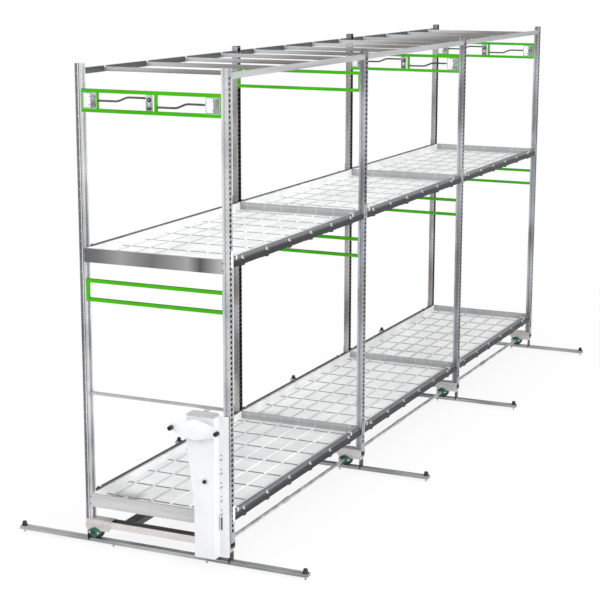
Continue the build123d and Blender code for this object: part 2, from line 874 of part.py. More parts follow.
drains = []
for level in (lower_level, mid_level):
    tray_base = level - bar_height
    drain_floor = tray_base + tray_wall
    for start, end in bays:
        y = start + drain_y
        fitting = disc_z(drain_x, y, drain_flange_radius, drain_floor, drain_floor + drain_flange_height)
        fitting = fitting + disc_z(drain_x, y, drain_neck_radius, tray_base, drain_floor)
        fitting = fitting + disc_z(drain_x, y, drain_radius, tray_base - drain_length, tray_base)
        # The flange closes the bore with a strainer of small holes that keeps roots out of the hose
        bore_bottom = tray_base - drain_length - cut_margin
        fitting = fitting - disc_z(drain_x, y, drain_bore_radius, bore_bottom, drain_floor)
        hole_top = drain_floor + drain_flange_height + cut_margin
        hole = disc_z(drain_x, y, strainer_hole_radius, drain_floor - cut_margin, hole_top)
        holes = [hole]
        for i in range(strainer_ring_count):
            angle = radians(i * full_turn / strainer_ring_count)
            holes.append(Pos(strainer_ring_radius * cos(angle), strainer_ring_radius * sin(angle), 0) * hole)
        drains.append(fitting - holes)
save("tray_drains", drains)

# Fascias and their screws
screw_x = fascia_half_width - fascia_screw_inset


def fascia_at(y, outward, level):
    near = y + outward * post_depth / 2
    far = near + outward * fascia_thickness
    back = near - outward * fascia_return
    low = level - fascia_below
    panel = block(-fascia_half_width, fascia_half_width, near, far, low, level + fascia_above)
    panel = panel + block(-tray_half_width, tray_half_width, back, near, low, low + fascia_thickness)
    for side in sides:
        for height in (-screw_low, screw_high):
            panel = panel - disc_y(
                side * screw_x,
                level + height,
                screw_radius + running_gap,
                near - outward * cut_margin,
                far + outward * cut_margin,
            )
    return panel


def screws_at(y, outward, level):
    near = y + outward * post_depth / 2
    far = near + outward * fascia_thickness
    tip = far + outward * screw_head_height
    screws = []
    for side in sides:
        for height in (-screw_low, screw_high):
            screw = disc_y(side * screw_x, level + height, screw_radius, near, far)
            screws.append(screw + disc_y(side * screw_x, level + height, screw_head_radius, far, tip))
    return screws


save("front_fascia_lower", [fascia_at(rows[0], -1, lower_level)])
save("front_fascia_mid", [fascia_at(rows[0], -1, mid_level)])
save("rear_fascias", [fascia_at(rows[-1], 1, lower_level), fascia_at(rows[-1], 1, mid_level)])
fascia_screws = []
for level in (lower_level, mid_level):
    fascia_screws += screws_at(rows[0], -1, level)
    fascia_screws += screws_at(rows[-1], 1, level)
save("fascia_screws", fascia_screws)

# Top side beams, cross bars and the brackets at their ends
top_beam_top = top_beam_bottom + top_beam_size
top_beam_outer_x = top_beam_inner_x + top_beam_size
top_beams = []
for start, end in bays:
    front = start + post_depth / 2
    rear = end - post_depth / 2
    beam = block(top_beam_inner_x, top_beam_outer_x, front, rear, top_beam_bottom, top_beam_top)
    beam = beam - block(
        top_beam_inner_x + beam_wall,
        top_beam_outer_x - beam_wall,
        start,
        end,
        top_beam_bottom + beam_wall,
        top_beam_top - beam_wall,
    )
    top_beams += [beam, mirror(beam, about=Plane.YZ)]
save("top_side_beams", top_beams)

cross_ys = [start + share * bay_length for start, end in bays for share in cross_bar_shares]
cross_end_x = top_beam_inner_x - bracket_plate_thickness
cross_bar_top = cross_bar_bottom + cross_bar_height
half_bar = cross_bar_width / 2
cross = block(-cross_end_x, cross_end_x, -half_bar, half_bar, cross_bar_bottom, cross_bar_top)
cross = cross - block(
    -cross_end_x - cut_margin,
    cross_end_x + cut_margin,
    cross_bar_wall - half_bar,
    half_bar - cross_bar_wall,
    cross_bar_bottom - cut_margin,
    cross_bar_top - cross_bar_wall,
)
lip_top = cross_bar_bottom + cross_bar_wall
for face in sides:
    lip_edge = face * (half_bar + cross_bar_lip)
    lip = block(-cross_end_x, cross_end_x, face * half_bar, lip_edge, cross_bar_bottom, lip_top)
    cross = cross + lip
for side in sides:
    cross = cross - disc_z(
        side * hanger_hole_x, 0, hanger_hole_radius, cross_bar_top - cross_bar_height / 2, cross_bar_top + cut_margin
    )
save("top_cross_bars", [Pos(0, y, 0) * cross for y in cross_ys])
plate_bottom = top_beam_bottom
end_plate = block(
    cross_end_x,
    top_beam_inner_x,
    -bracket_plate_width / 2,
    bracket_plate_width / 2,
    plate_bottom,
    plate_bottom + bracket_plate_height,
)
end_plates = [Pos(0, y, 0) * end_plate for y in cross_ys]
end_plates += [Pos(0, y, 0) * mirror(end_plate, about=Plane.YZ) for y in cross_ys]
save("cross_bar_brackets", end_plates)

# Rectangular frames between the posts: two bars and two ends, each a hollow piece of its own
frame_back = frame_front + frame_bar


def tube_along_x(x0, x1, y0, y1, z0, z1, wall):
    tube = block(x0, x1, y0, y1, z0, z1)
    return tube - block(x0 - cut_margin, x1 + cut_margin, y0 + wall, y1 - wall, z0 + wall, z1 - wall)


def frame_at(y, bottom, end_widths):
    front = y + frame_front
    back = y + frame_back
    top = bottom + frame_height
    pieces = [tube_along_x(-post_inner_x, post_inner_x, front, back, bottom, bottom + frame_bar, frame_wall)]
    pieces.append(tube_along_x(-post_inner_x, post_inner_x, front, back, top - frame_bar, top, frame_wall))
    for side, end_width in zip(sides, end_widths):
        end_x = side * (post_inner_x - end_width)
        pieces.append(block(end_x, side * post_inner_x, front, back, bottom + frame_bar, top - frame_bar))
    return pieces


lower_end_widths = (lower_left_end_width, lower_right_end_width)
upper_end_widths = (upper_end_width, upper_end_width)
save("frames_lower", [piece for y in rows for piece in frame_at(y, lower_frame_bottom, lower_end_widths)])
upper_frames = [piece for y in rows for piece in frame_at(y, upper_frame_bottom, upper_end_widths)]

# Raising gear: two side boxes, a centre box and two cranked rods in three of the upper frames, whose straps
# stand beside the left box and the centre box
frame_end_x = post_inner_x - upper_end_width
side_box_inner_x = frame_end_x - side_box_width
left_strap_x = strap_left_width - side_box_inner_x
centre_strap_x = centre_box_half_width + strap_centre_width
opening_low = upper_frame_bottom + frame_bar
opening_high = upper_frame_bottom + frame_height - frame_bar
box_back = frame_front + box_depth


def side_box(side):
    body = block(side * side_box_inner_x, side * frame_end_x, frame_front, box_back, opening_low, opening_high)
    pocket_back = frame_front + box_plate_depth
    pocket = block(
        side * (side_box_inner_x + box_wall),
        side * (frame_end_x - box_wall),
        frame_front - cut_margin,
        pocket_back,
        opening_low + box_wall,
        opening_high - box_wall,
    )
    insert = block(
        side * (side_box_inner_x + box_plate_inset),
        side * (frame_end_x - box_plate_inset),
        frame_front + box_wall,
        pocket_back,
        opening_low + box_plate_inset,
        opening_high - box_plate_inset,
    )
    return body - pocket + insert


centre_box = block(-centre_box_half_width, centre_box_half_width, frame_front, box_back, opening_low, opening_high)
knob_centre_z = opening_high - gear_knob_below_top
centre_box = centre_box + disc_y(0, knob_centre_z, gear_knob_radius, frame_front - gear_knob_height, frame_front)


def cranked_rod(x_start, x_bend, x_end, low_z):
    high_z = low_z + rod_rise
    x_top = x_bend + rod_bend_length
    lower = [
        (x_start, low_z - rod_half_height),
        (x_bend, low_z - rod_half_height),
        (x_top, high_z - rod_half_height),
        (x_end, high_z - rod_half_height),
    ]
    upper = [
        (x_end, high_z + rod_half_height),
        (x_top, high_z + rod_half_height),
        (x_bend, low_z + rod_half_height),
        (x_start, low_z + rod_half_height),
    ]
    rod_middle = frame_front + frame_bar / 2
    return slab_y(outline(lower + upper), rod_middle - rod_depth / 2, rod_middle + rod_depth / 2)


left_rod = cranked_rod(left_strap_x, rod_bend_left_x, -centre_box_half_width, rod_low_left_z)
right_rod = cranked_rod(centre_strap_x, rod_bend_right_x, side_box_inner_x, rod_low_right_z)
left_strap = block(-side_box_inner_x, left_strap_x, frame_front, frame_back, opening_low, opening_high)
centre_strap = block(
    centre_box_half_width, centre_strap_x, frame_front, frame_back, opening_low, opening_high
)
gear_boxes = []
gear_rods = []
for index in gear_rows:
    shift = Pos(0, rows[index], 0)
    gear_boxes += [shift * side_box(-1), shift * side_box(1), shift * centre_box]
    gear_rods += [shift * left_rod, shift * right_rod]
    upper_frames += [shift * left_strap, shift * centre_strap]
save("frames_upper", upper_frames)
save("hanger_boxes", gear_boxes)
save("hanger_rods", gear_rods)

# Brace tube between the front posts, with a plate on each post
brace_top = brace_bottom + brace_size
brace_end_x = post_inner_x - connector_wall
brace = tube_along_x(
    -brace_end_x,
    brace_end_x,
    front_row - brace_size / 2,
    front_row + brace_size / 2,
    brace_bottom,
    brace_top,
    brace_wall,
)
for side in sides:
    brace = brace + block(
        side * brace_end_x,
        side * post_inner_x,
        front_row - brace_plate_half_depth,
        front_row + brace_plate_half_depth,
        brace_bottom - brace_plate_overhang,
        brace_top + brace_plate_overhang,
    )
save("brace_tube", [brace])

# Column housing: a folded sheet open at the back and at the foot, with a flange in front of the right post
column_points = [
    (column_right_x, column_bottom),
    (column_right_x, column_top),
    (column_left_top_x, column_top),
    (column_left_waist_x, column_waist),
    (column_left_foot_x, column_foot_top),
    (column_left_foot_x, column_bottom),
]
column_inner_points = [
    (column_right_x - column_wall, column_bottom - cut_margin),
    (column_right_x - column_wall, column_top - column_wall),
    (column_left_top_x + column_wall, column_top - column_wall),
    (column_left_waist_x + column_wall, column_waist),
    (column_left_foot_x + column_wall, column_foot_top),
    (column_left_foot_x + column_wall, column_bottom - cut_margin),
]
housing = slab_y(outline(column_points), column_front, column_back)
housing = housing - slab_y(outline(column_inner_points), column_front + column_wall, column_back + cut_margin)
housing = housing - block(
    column_left_waist_x - cut_margin,
    column_right_x + cut_margin,
    -bracket_half_depth,
    column_back + cut_margin,
    column_bottom - cut_margin,
    column_plate_bottom,
)
front_hole_end = column_front + column_wall + cut_margin
housing = housing - disc_y(hub_x, hub_z, hub_radius + hub_gap, column_front - cut_margin, front_hole_end)
housing = housing - disc_y(
    knob_x, knob_z, knob_pin_radius + running_gap, column_front - cut_margin, front_hole_end
)
side_flange_back = -bracket_half_depth
side_flange_front = side_flange_back - column_wall
housing = housing + block(
    column_right_x - column_wall,
    side_flange_right_x,
    side_flange_front,
    side_flange_back,
    column_bottom,
    column_top,
)
for i in range(side_flange_hole_count):
    housing = housing - disc_y(
        side_flange_hole_x,
        side_flange_hole_first + i * side_flange_hole_pitch,
        side_flange_hole_radius,
        side_flange_front - cut_margin,
        side_flange_back + cut_margin,
    )
mark_y = column_back - mark_inset
mark_inside = column_right_x - column_wall - cut_margin
mark_outside = column_right_x + cut_margin
mark_thickness = mark_outside - mark_inside
for i in range(mark_count):
    z = mark_top - i * mark_pitch
    housing = housing - disc_x(mark_y, z, mark_radius, mark_inside, mark_outside)
    slit = Rot(mark_slot_angle, 0, 0) * Box(mark_thickness, mark_slot_width, mark_slot_length)
    housing = housing - Pos((mark_inside + mark_outside) / 2, mark_y, z - mark_drop) * slit
housing = housing - block(
    mark_inside,
    mark_outside,
    mark_y - side_slot_width / 2,
    mark_y + side_slot_width / 2,
    side_slot_bottom,
    side_slot_bottom + side_slot_length,
)
save("column_housing", [Pos(0, front_row, 0) * housing])

# Back plate, with a strap that hangs the column from the brace tube
plate_points = [
    (column_right_x, column_plate_bottom),
    (column_right_x, column_top),
    (column_left_top_x, column_top),
    (column_left_waist_x, column_waist),
    (column_left_foot_x, column_foot_top),
    (column_left_foot_x, column_plate_bottom),
]
plate_back = column_back + column_plate_thickness
strap_bottom = brace_bottom - hanger_bracket_thickness
back_plate = slab_y(outline(plate_points), column_back, plate_back)
back_plate = back_plate + block(
    hanger_bracket_left_x, hanger_bracket_right_x, column_back, plate_back, column_top, brace_bottom
)
back_plate = back_plate + block(
    hanger_bracket_left_x, hanger_bracket_right_x, plate_back, brace_size / 2, strap_bottom, brace_bottom
)
save("column_back_plate", [Pos(0, front_row, 0) * back_plate])

cap_middle = column_top + cap_step_height
cap_top = cap_middle + cap_step_height
cap = block(
    column_left_top_x - cap_overhang,
    column_right_x + cap_overhang,
    column_front - cap_overhang,
    column_back,
    column_top,
    cap_middle,
)
cap = cap + block(
    column_left_top_x + cap_step_inset,
    column_right_x - cap_step_inset,
    column_front + cap_step_inset,
    column_back,
    cap_middle,
    cap_top,
)
cap = cap - block(
    column_left_top_x + cap_step_inset + column_wall,
    column_right_x - cap_step_inset - column_wall,
    column_front + cap_step_inset + column_wall,
    column_back + cut_margin,
    column_top - cut_margin,
    cap_top - column_wall,
)
save("column_cap", [Pos(0, front_row, 0) * cap])

# Hub bearing: a ring on the column front and a boss on its back plate
ring_front = column_front - hub_ring_length
ring = disc_y(0, 0, hub_ring_radius, ring_front, column_front)
rear_boss = disc_y(0, 0, rear_boss_radius, column_back - rear_boss_length, column_back)
hub_bore = disc_y(0, 0, hub_radius + running_gap, ring_front - cut_margin, column_back + cut_margin)
hub_place = Pos(hub_x, front_row, hub_z)
save("hub_bearing", [hub_place * (ring - hub_bore), hub_place * (rear_boss - hub_bore)])

# Hub shaft with the upper sprocket
handle_back = handle_front + handle_thickness
washer_front = handle_front - hub_washer_height
hub_shaft = disc_y(0, 0, hub_radius, handle_front, hub_shaft_end)
hub_shaft = hub_shaft + disc_y(0, 0, hub_washer_radius, washer_front, handle_front)
hub_shaft = hub_shaft + slab_y(sprocket_sketch(hub_teeth), sprocket_front, sprocket_back)
save("hub_shaft", [hub_place * hub_shaft])

# Handle plate: a rounded rhombus with a boss behind it
crown_z = handle_half_height - handle_crown_radius
plate_sketch = rounded([
    (-grip_axis_radius, 0, handle_end_radius),
    (grip_axis_radius, 0, handle_end_radius),
    (0, crown_z, handle_crown_radius),
    (0, -crown_z, handle_crown_radius),
])
handle = slab_y(plate_sketch, handle_front, handle_back)
handle = handle + disc_y(0, 0, hub_boss_radius, handle_back, ring_front - hub_gap)
handle = handle - disc_y(0, 0, hub_radius + fixed_gap, handle_front - cut_margin, ring_front)
for side in sides:
    handle = handle - disc_y(
        side * grip_axis_radius, 0, pin_radius + fixed_gap, handle_front - cut_margin, handle_back + cut_margin
    )
save("handle_plate", [hub_place * handle])

# Grips turn on pins that are bolted through the plate
grip_front = grip_back - grip_length
pin_head_back = grip_front - clear_gap
pin = disc_y(0, 0, pin_radius, pin_head_back, handle_back)
pin = pin + disc_y(0, 0, pin_head_radius, -front_reach, pin_head_back)
pin = pin + disc_y(0, 0, pin_head_radius, grip_back + clear_gap, handle_front)
pin = pin + slab_y(RegularPolygon(pin_head_radius, hex_sides), handle_back, handle_back + pin_nut_height)
grip = disc_y(0, 0, grip_radius, grip_front, grip_back)
grip = chamfer(grip.edges().filter_by(GeomType.CIRCLE), grip_edge)
grip = grip - disc_y(0, 0, pin_radius + running_gap, grip_front - cut_margin, grip_back + cut_margin)
pins = []
for side, name in ((-1, "grip_left"), (1, "grip_right")):
    place = Pos(hub_x + side * grip_axis_radius, front_row, hub_z)
    pins.append(place * pin)
    save(name, [place * grip])
save("grip_pins", pins)

# Lock knob on the front of the column, pulled out to release
knob_back = column_front - clear_gap
knob = disc_y(0, 0, knob_radius, knob_front, knob_back)
knob = chamfer(knob.edges().filter_by(GeomType.CIRCLE).sort_by(Axis.Y)[0], knob_edge)
knob = knob + disc_y(0, 0, knob_pin_radius, knob_back, knob_pin_end)
save("lock_knob", [Pos(knob_x, front_row, knob_z) * knob])
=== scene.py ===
import bmesh
import bpy
import json
import math
import numpy as np
from mathutils import Matrix, Vector
from types import SimpleNamespace


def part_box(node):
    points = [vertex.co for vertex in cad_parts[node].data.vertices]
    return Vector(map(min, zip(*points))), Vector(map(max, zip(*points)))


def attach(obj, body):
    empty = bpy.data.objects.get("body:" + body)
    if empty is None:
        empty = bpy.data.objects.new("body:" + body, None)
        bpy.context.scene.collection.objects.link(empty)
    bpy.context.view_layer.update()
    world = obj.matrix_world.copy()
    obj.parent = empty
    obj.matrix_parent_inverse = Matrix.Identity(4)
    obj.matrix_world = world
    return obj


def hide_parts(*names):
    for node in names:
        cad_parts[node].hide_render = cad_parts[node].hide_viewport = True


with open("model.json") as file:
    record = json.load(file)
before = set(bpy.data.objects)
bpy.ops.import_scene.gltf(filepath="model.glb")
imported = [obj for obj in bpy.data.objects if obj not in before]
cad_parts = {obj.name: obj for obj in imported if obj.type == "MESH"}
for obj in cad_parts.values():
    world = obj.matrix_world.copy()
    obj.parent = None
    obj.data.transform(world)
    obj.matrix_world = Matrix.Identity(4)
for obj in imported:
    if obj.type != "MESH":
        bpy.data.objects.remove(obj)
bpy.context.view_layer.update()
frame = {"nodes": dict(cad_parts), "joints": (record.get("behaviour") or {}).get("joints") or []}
nodes = frame["nodes"]
print("frame loaded:", len(nodes), "nodes")

mm = 0.001
fullTurn = 2 * math.pi

# Places that everything else is worked out from
jointAt = {joint["name"]: joint.get("pos_m") for joint in frame["joints"]}
rowYs = [jointAt["idler_spin_" + str(i)][1] for i in (1, 2, 3, 4)]
frontY = rowYs[0]
bayLength = rowYs[1] - frontY
axleZ = jointAt["drive_spin"][2]
driveX = jointAt["drive_spin"][0]
idlerX = jointAt["idler_spin_1"][0]
hubX, hubZ = jointAt["handle_turn"][0], jointAt["handle_turn"][2]
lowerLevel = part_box("shelf_beams_lower")[0][2]
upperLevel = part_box("shelf_beams_mid")[0][2]
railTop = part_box("floor_rails")[1][2]


# Meshes: every shell is (vertices, faces), and several shells make one piece

def gridShell(grid, closed=True):
    # A surface of two parameters: grid is rows x columns x 3, and neighbours make the faces.
    # A closed one joins its last column to its first and has a cap on its first and last rows
    rows, columns = grid.shape[:2]
    index = np.arange(rows * columns).reshape(rows, columns)
    if closed:
        index = np.hstack([index, index[:, :1]])
    corners = [index[:-1, :-1], index[:-1, 1:], index[1:, 1:], index[1:, :-1]]
    faces = np.stack([corner.ravel() for corner in corners], axis=1).tolist()
    if closed:
        faces.append(np.arange(columns)[::-1].tolist())
        faces.append(((rows - 1) * columns + np.arange(columns)).tolist())
    return grid.reshape(-1, 3), faces


def joinShells(shells):
    allPoints = []
    allFaces = []
    start = 0
    for points, faces in shells:
        allPoints.append(points)
        allFaces += [[corner + start for corner in face] for face in faces]
        start += len(points)
    return np.vstack(allPoints), allFaces


def mirroredShell(shell):
    # The other hand of a shell: x changes sign, and the faces turn round to keep pointing outwards
    return shell[0] * np.array([-1.0, 1.0, 1.0]), [face[::-1] for face in shell[1]]


def roundAngles(count):
    return np.linspace(0, fullTurn, count, endpoint=False)


def quarterRound(radius, steps):
    # How far in and how deep a rounded edge is at each step: radius * (1 - sin, 1 - cos)(turn)
    turn = np.linspace(0, math.pi / 2, steps)
    return radius * (1 - np.sin(turn)), radius * (1 - np.cos(turn))


def turnedShell(profile, centre, axis="y", segments=32, outward=1):
    # A profile of (radius, distance along the axis) pairs in millimetres, turned once round it:
    # (across, up) = radius * (cos(angle), sin(angle)). Outward -1 draws the profile towards -axis
    profile = np.asarray(profile, float) * mm
    angle = roundAngles(segments)[None, :]
    across = profile[:, :1] * np.cos(angle)
    up = profile[:, :1] * np.sin(angle)
    along = outward * profile[:, 1:] + 0 * angle
    parts = [across, up, along] if axis == "z" else [up, along, across]
    points, faces = gridShell(np.stack(parts, axis=2))
    return points + np.asarray(centre, float), faces


def frontDisc(x, z, faceY, profile, segments=28):
    # A turned disc on a face that looks to the front
    return turnedShell(profile, (x, faceY, z), "y", segments, -1)


def hullOutline(circles, inset, count):
    # The tight band round several circles (x, z, radius): each direction's point lies on the
    # circle that reaches furthest that way
    angle = roundAngles(count)
    normal = np.stack([np.cos(angle), np.sin(angle)], axis=1)
    circles = np.asarray(circles, float)
    reach = normal @ circles[:, :2].T + circles[:, 2][None, :]
    best = reach.argmax(axis=1)
    return circles[best, :2] + (circles[best, 2] - inset)[:, None] * normal


def plateShell(circles, back, front, edge, count, steps=4):
    # A plate with a hull outline, which is drawn in near each face so that its rims are rounded
    inset, depth = quarterRound(edge, steps)
    depth = depth * (1 if front > back else -1)
    grid = []
    for ringInset, y in [*zip(inset, back + depth), *zip(inset[::-1], (front - depth)[::-1])]:
        outline = hullOutline(circles, ringInset, count)
        grid.append(np.stack([outline[:, 0], np.full(count, y), outline[:, 1]], axis=1))
    return gridShell(np.array(grid))


def roundedBlock(x0, x1, z0, z1, back, front, corner, edge):
    circles = [(x, z, corner) for x in (x0 + corner, x1 - corner)
               for z in (z0 + corner, z1 - corner)]
    return plateShell(circles, back, front, edge, 48, 3)


def slabShell(low, high):
    # A plain cuboid of six faces, finished by a bevel on its piece
    corners = [[x, y, z] for z in (low[2], high[2]) for y in (low[1], high[1])
               for x in (low[0], high[0])]
    faces = [[0, 2, 3, 1], [4, 5, 7, 6], [0, 1, 5, 4], [2, 6, 7, 3], [0, 4, 6, 2], [1, 3, 7, 5]]
    return np.array(corners, float), faces


def roundedPath(points, radius, steps=6):
    # Straight runs with each corner replaced by a quadratic curve that starts and ends one radius
    # from it: (1 - t)^2 * start + 2 t (1 - t) * corner + t^2 * end
    points = np.asarray(points, float)
    path = [points[0]]
    t = np.linspace(0, 1, steps)[:, None]
    for before, corner, after in zip(points[:-2], points[1:-1], points[2:]):
        start = corner + (before - corner) / np.linalg.norm(before - corner) * radius
        end = corner + (after - corner) / np.linalg.norm(after - corner) * radius
        path += list((1 - t) ** 2 * start + 2 * t * (1 - t) * corner + t ** 2 * end)
    path.append(points[-1])
    return np.array(path)


def sweptShell(path, radius, sides):
    # A round bar: a circle carried along a path, square to the path at every point
    tangent = np.gradient(path, axis=0)
    tangent /= np.linalg.norm(tangent, axis=1, keepdims=True)
    side = np.cross(tangent, np.array([0.0, 1.0, 0.0]))
    side /= np.linalg.norm(side, axis=1, keepdims=True)
    up = np.cross(side, tangent)
    angle = roundAngles(sides)[None, :, None]
    circle = np.cos(angle) * side[:, None, :] + np.sin(angle) * up[:, None, :]
    return gridShell(path[:, None, :] + radius * circle)


def makeMesh(name, points, faces, material):
    mesh = bpy.data.meshes.new(name)
    mesh.from_pydata(np.asarray(points, float).tolist(), [], faces)
    mesh.materials.append(material)
    return mesh


def addObject(name, data):
    added = bpy.data.objects.new(name, data)
    bpy.context.scene.collection.objects.link(added)
    return added


def makePiece(name, shells, body, finishName, replaced=(), smoothAngle=40, bevel=0.0):
    mesh = makeMesh(name, *joinShells(shells), finish[finishName])
    mesh.validate()
    piece = addObject(name, mesh)
    # All faces point outwards
    work = bmesh.new()
    work.from_mesh(mesh)
    bmesh.ops.recalc_face_normals(work, faces=work.faces)
    work.to_mesh(mesh)
    work.free()
    mesh.shade_smooth()
    mesh.set_sharp_from_angle(angle=math.radians(smoothAngle))
    if bevel:
        rounding = piece.modifiers.new("rounding", "BEVEL")
        rounding.width = bevel
        rounding.segments = 2
        rounding.limit_method = "ANGLE"
    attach(piece, body)
    if replaced:
        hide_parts(*replaced)


# Materials

def linear(hexColour):
    # An sRGB hex value as the linear colour that the shader expects
    channels = [int(hexColour[i:i + 2], 16) / 255 for i in (1, 3, 5)]
    return tuple(c / 12.92 if c <= 0.04045 else ((c + 0.055) / 1.055) ** 2.4
                 for c in channels) + (1.0,)


class Nodes:
    # The shader nodes of a material or a world. Place is in Object coordinates, in metres

    def __init__(self, owner):
        owner.use_nodes = True
        self.owner = owner
        self.tree = owner.node_tree
        self.tree.nodes.clear()
        self.coordinates = self.add("TexCoord").outputs
        self.place = self.coordinates["Object"]

    def add(self, kind, inputs=None, output=None, **settings):
        # One node: an input that is a socket is linked, a hex string is a colour and the rest are
        # plain values. Settings are the node's own properties
        node = self.tree.nodes.new("ShaderNode" + kind)
        for key, value in settings.items():
            setattr(node, key, value)
        for key, value in (inputs or {}).items():
            if isinstance(value, bpy.types.NodeSocket):
                self.tree.links.new(value, node.inputs[key])
            else:
                node.inputs[key].default_value = linear(value) if isinstance(value, str) else value
        return node if output is None else node.outputs[output]

    def axis(self, axis, vector=None):
        return self.add("SeparateXYZ", {"Vector": vector or self.place}, axis)

    def maths(self, operation, *values):
        return self.add("Math", dict(enumerate(values)), "Value", operation=operation)

    def span(self, value, low, high, start=0.0, end=1.0, curve="LINEAR"):
        # How far the value has come from low to high, spread from start to end and kept between
        return self.add("MapRange", {"Value": value, "From Min": low, "From Max": high,
                                     "To Min": start, "To Max": end}, "Result",
                        interpolation_type=curve)

    def mix(self, share, first, second, blend="MIX"):
        return self.add("Mix", {0: share, 6: first, 7: second}, 2, data_type="RGBA",
                        blend_type=blend)


class Surface(Nodes):
    # A material in the making

    def __init__(self, name, colour, roughness, metallic=0.0, ior=None, gloss=None):
        super().__init__(bpy.data.materials.new(name))
        self.shader = self.add("BsdfPrincipled", {"Base Color": colour, "Roughness": roughness,
                                                  "Metallic": metallic})
        for key, value in (("IOR", ior), ("Specular IOR Level", gloss)):
            if value is not None:
                self.shader.inputs[key].default_value = value
        self.add("OutputMaterial", {"Surface": self.shader.outputs["BSDF"]})

    def noise(self, scale, detail=2.0, roughness=0.5, stretch=None):
        # Scale is the number of clouds per metre, before the stretch of each axis
        place = self.place
        if stretch:
            place = self.add("Mapping", {"Vector": place, "Scale": stretch}, "Vector")
        return self.add("TexNoise", {"Vector": place, "Scale": scale, "Detail": detail,
                                     "Roughness": roughness}, "Fac")

    def ramp(self, source, *stops):
        ramp = self.add("ValToRGB", {"Fac": source})
        elements = ramp.color_ramp.elements
        while len(elements) < len(stops):
            elements.new(0.5)
        for element, (position, colour) in zip(elements, stops):
            element.position = position
            element.color = linear(colour)
        return ramp.outputs["Color"]

    def rowOffset(self):
        # Distance along the rack from the nearest row of posts
        wrapped = self.maths("WRAP", self.axis("Y"), frontY + bayLength / 2,
                             frontY - bayLength / 2)
        return self.maths("ABSOLUTE", self.maths("SUBTRACT", wrapped, frontY))

    def feed(self, key, source):
        self.tree.links.new(source, self.shader.inputs[key])

    def finished(self, colour, relief, depth, strength, rough=None, roughSource=None):
        # Relief of a depth in millimetres, and roughness between two values, from the relief's
        # source when it has none of its own
        self.feed("Base Color", colour)
        self.feed("Normal", self.add("Bump", {"Height": relief, "Distance": depth * mm,
                                              "Strength": strength}, "Normal"))
        if rough:
            self.feed("Roughness", self.span(roughSource or relief, 0.0, 1.0, *rough))
        return self.owner


def galvanisedSteel(name, dark, light, along="z", metallic=0.8, paintedInsideShading=None, halfDepth=0.0):
    # Hot-dipped zinc on rolled strip: long soft streaks of the rolling, a faint crystal patch and
    # a fine grain. An inside colour is painted shade on an open channel's inner faces
    zinc = Surface(name, light, 0.36, metallic)
    streak = zinc.noise(1.4, 4.0, 0.55, {"x": (0.6, 16, 16), "z": (16, 16, 0.6)}[along])
    crystal = zinc.add("TexVoronoi", {"Vector": zinc.place, "Scale": 55.0}, "Color", feature="F1")
    crystalShare = zinc.add("SeparateColor", {"Color": crystal}, "Red")
    tone = zinc.add("Mix", {"Factor": 0.1, "A": streak, "B": crystalShare}, "Result",
                    data_type="FLOAT")
    colour = zinc.ramp(tone, (0.3, dark), (0.68, light))
    if paintedInsideShading:
        outer = zinc.span(zinc.rowOffset(), halfDepth - 1.6 * mm, halfDepth - 0.6 * mm)
        colour = zinc.mix(outer, paintedInsideShading, colour)
    return zinc.finished(colour, zinc.noise(450.0), 0.12, 0.3, (0.28, 0.46), tone)


post = SimpleNamespace(
    inner=555 * mm, outer=605 * mm,
    # distances at which the outer faces and the web begin, and heights where the inside pales
    face=(29.6 * mm, 30.4 * mm), web=(604.2 * mm, 604.8 * mm), webColour="#B2B3B6",
    pale=(2.55, 2.8), slotPitch=37.5 * mm,
    # distances from a rib's middle and the share of the painted glint at each
    glint=(4 * mm, 0.5 * mm, 0.0, 0.75),
    # metres behind the first row, and before the second, between which the rear rows' painted
    # shade comes in
    tintStart=0.4, rearTint="#E8E9EC", rearInside="#3E3F42",
    clouds=[(0.38, "#B4B7BE"), (0.6, "#FFFFFF")],
    rearClouds=[(0.34, "#6C6F78"), (0.45, "#B9B3AD"), (0.52, "#DCE2EC"), (0.64, "#FFFFFF")],
    cloudShare=0.7)


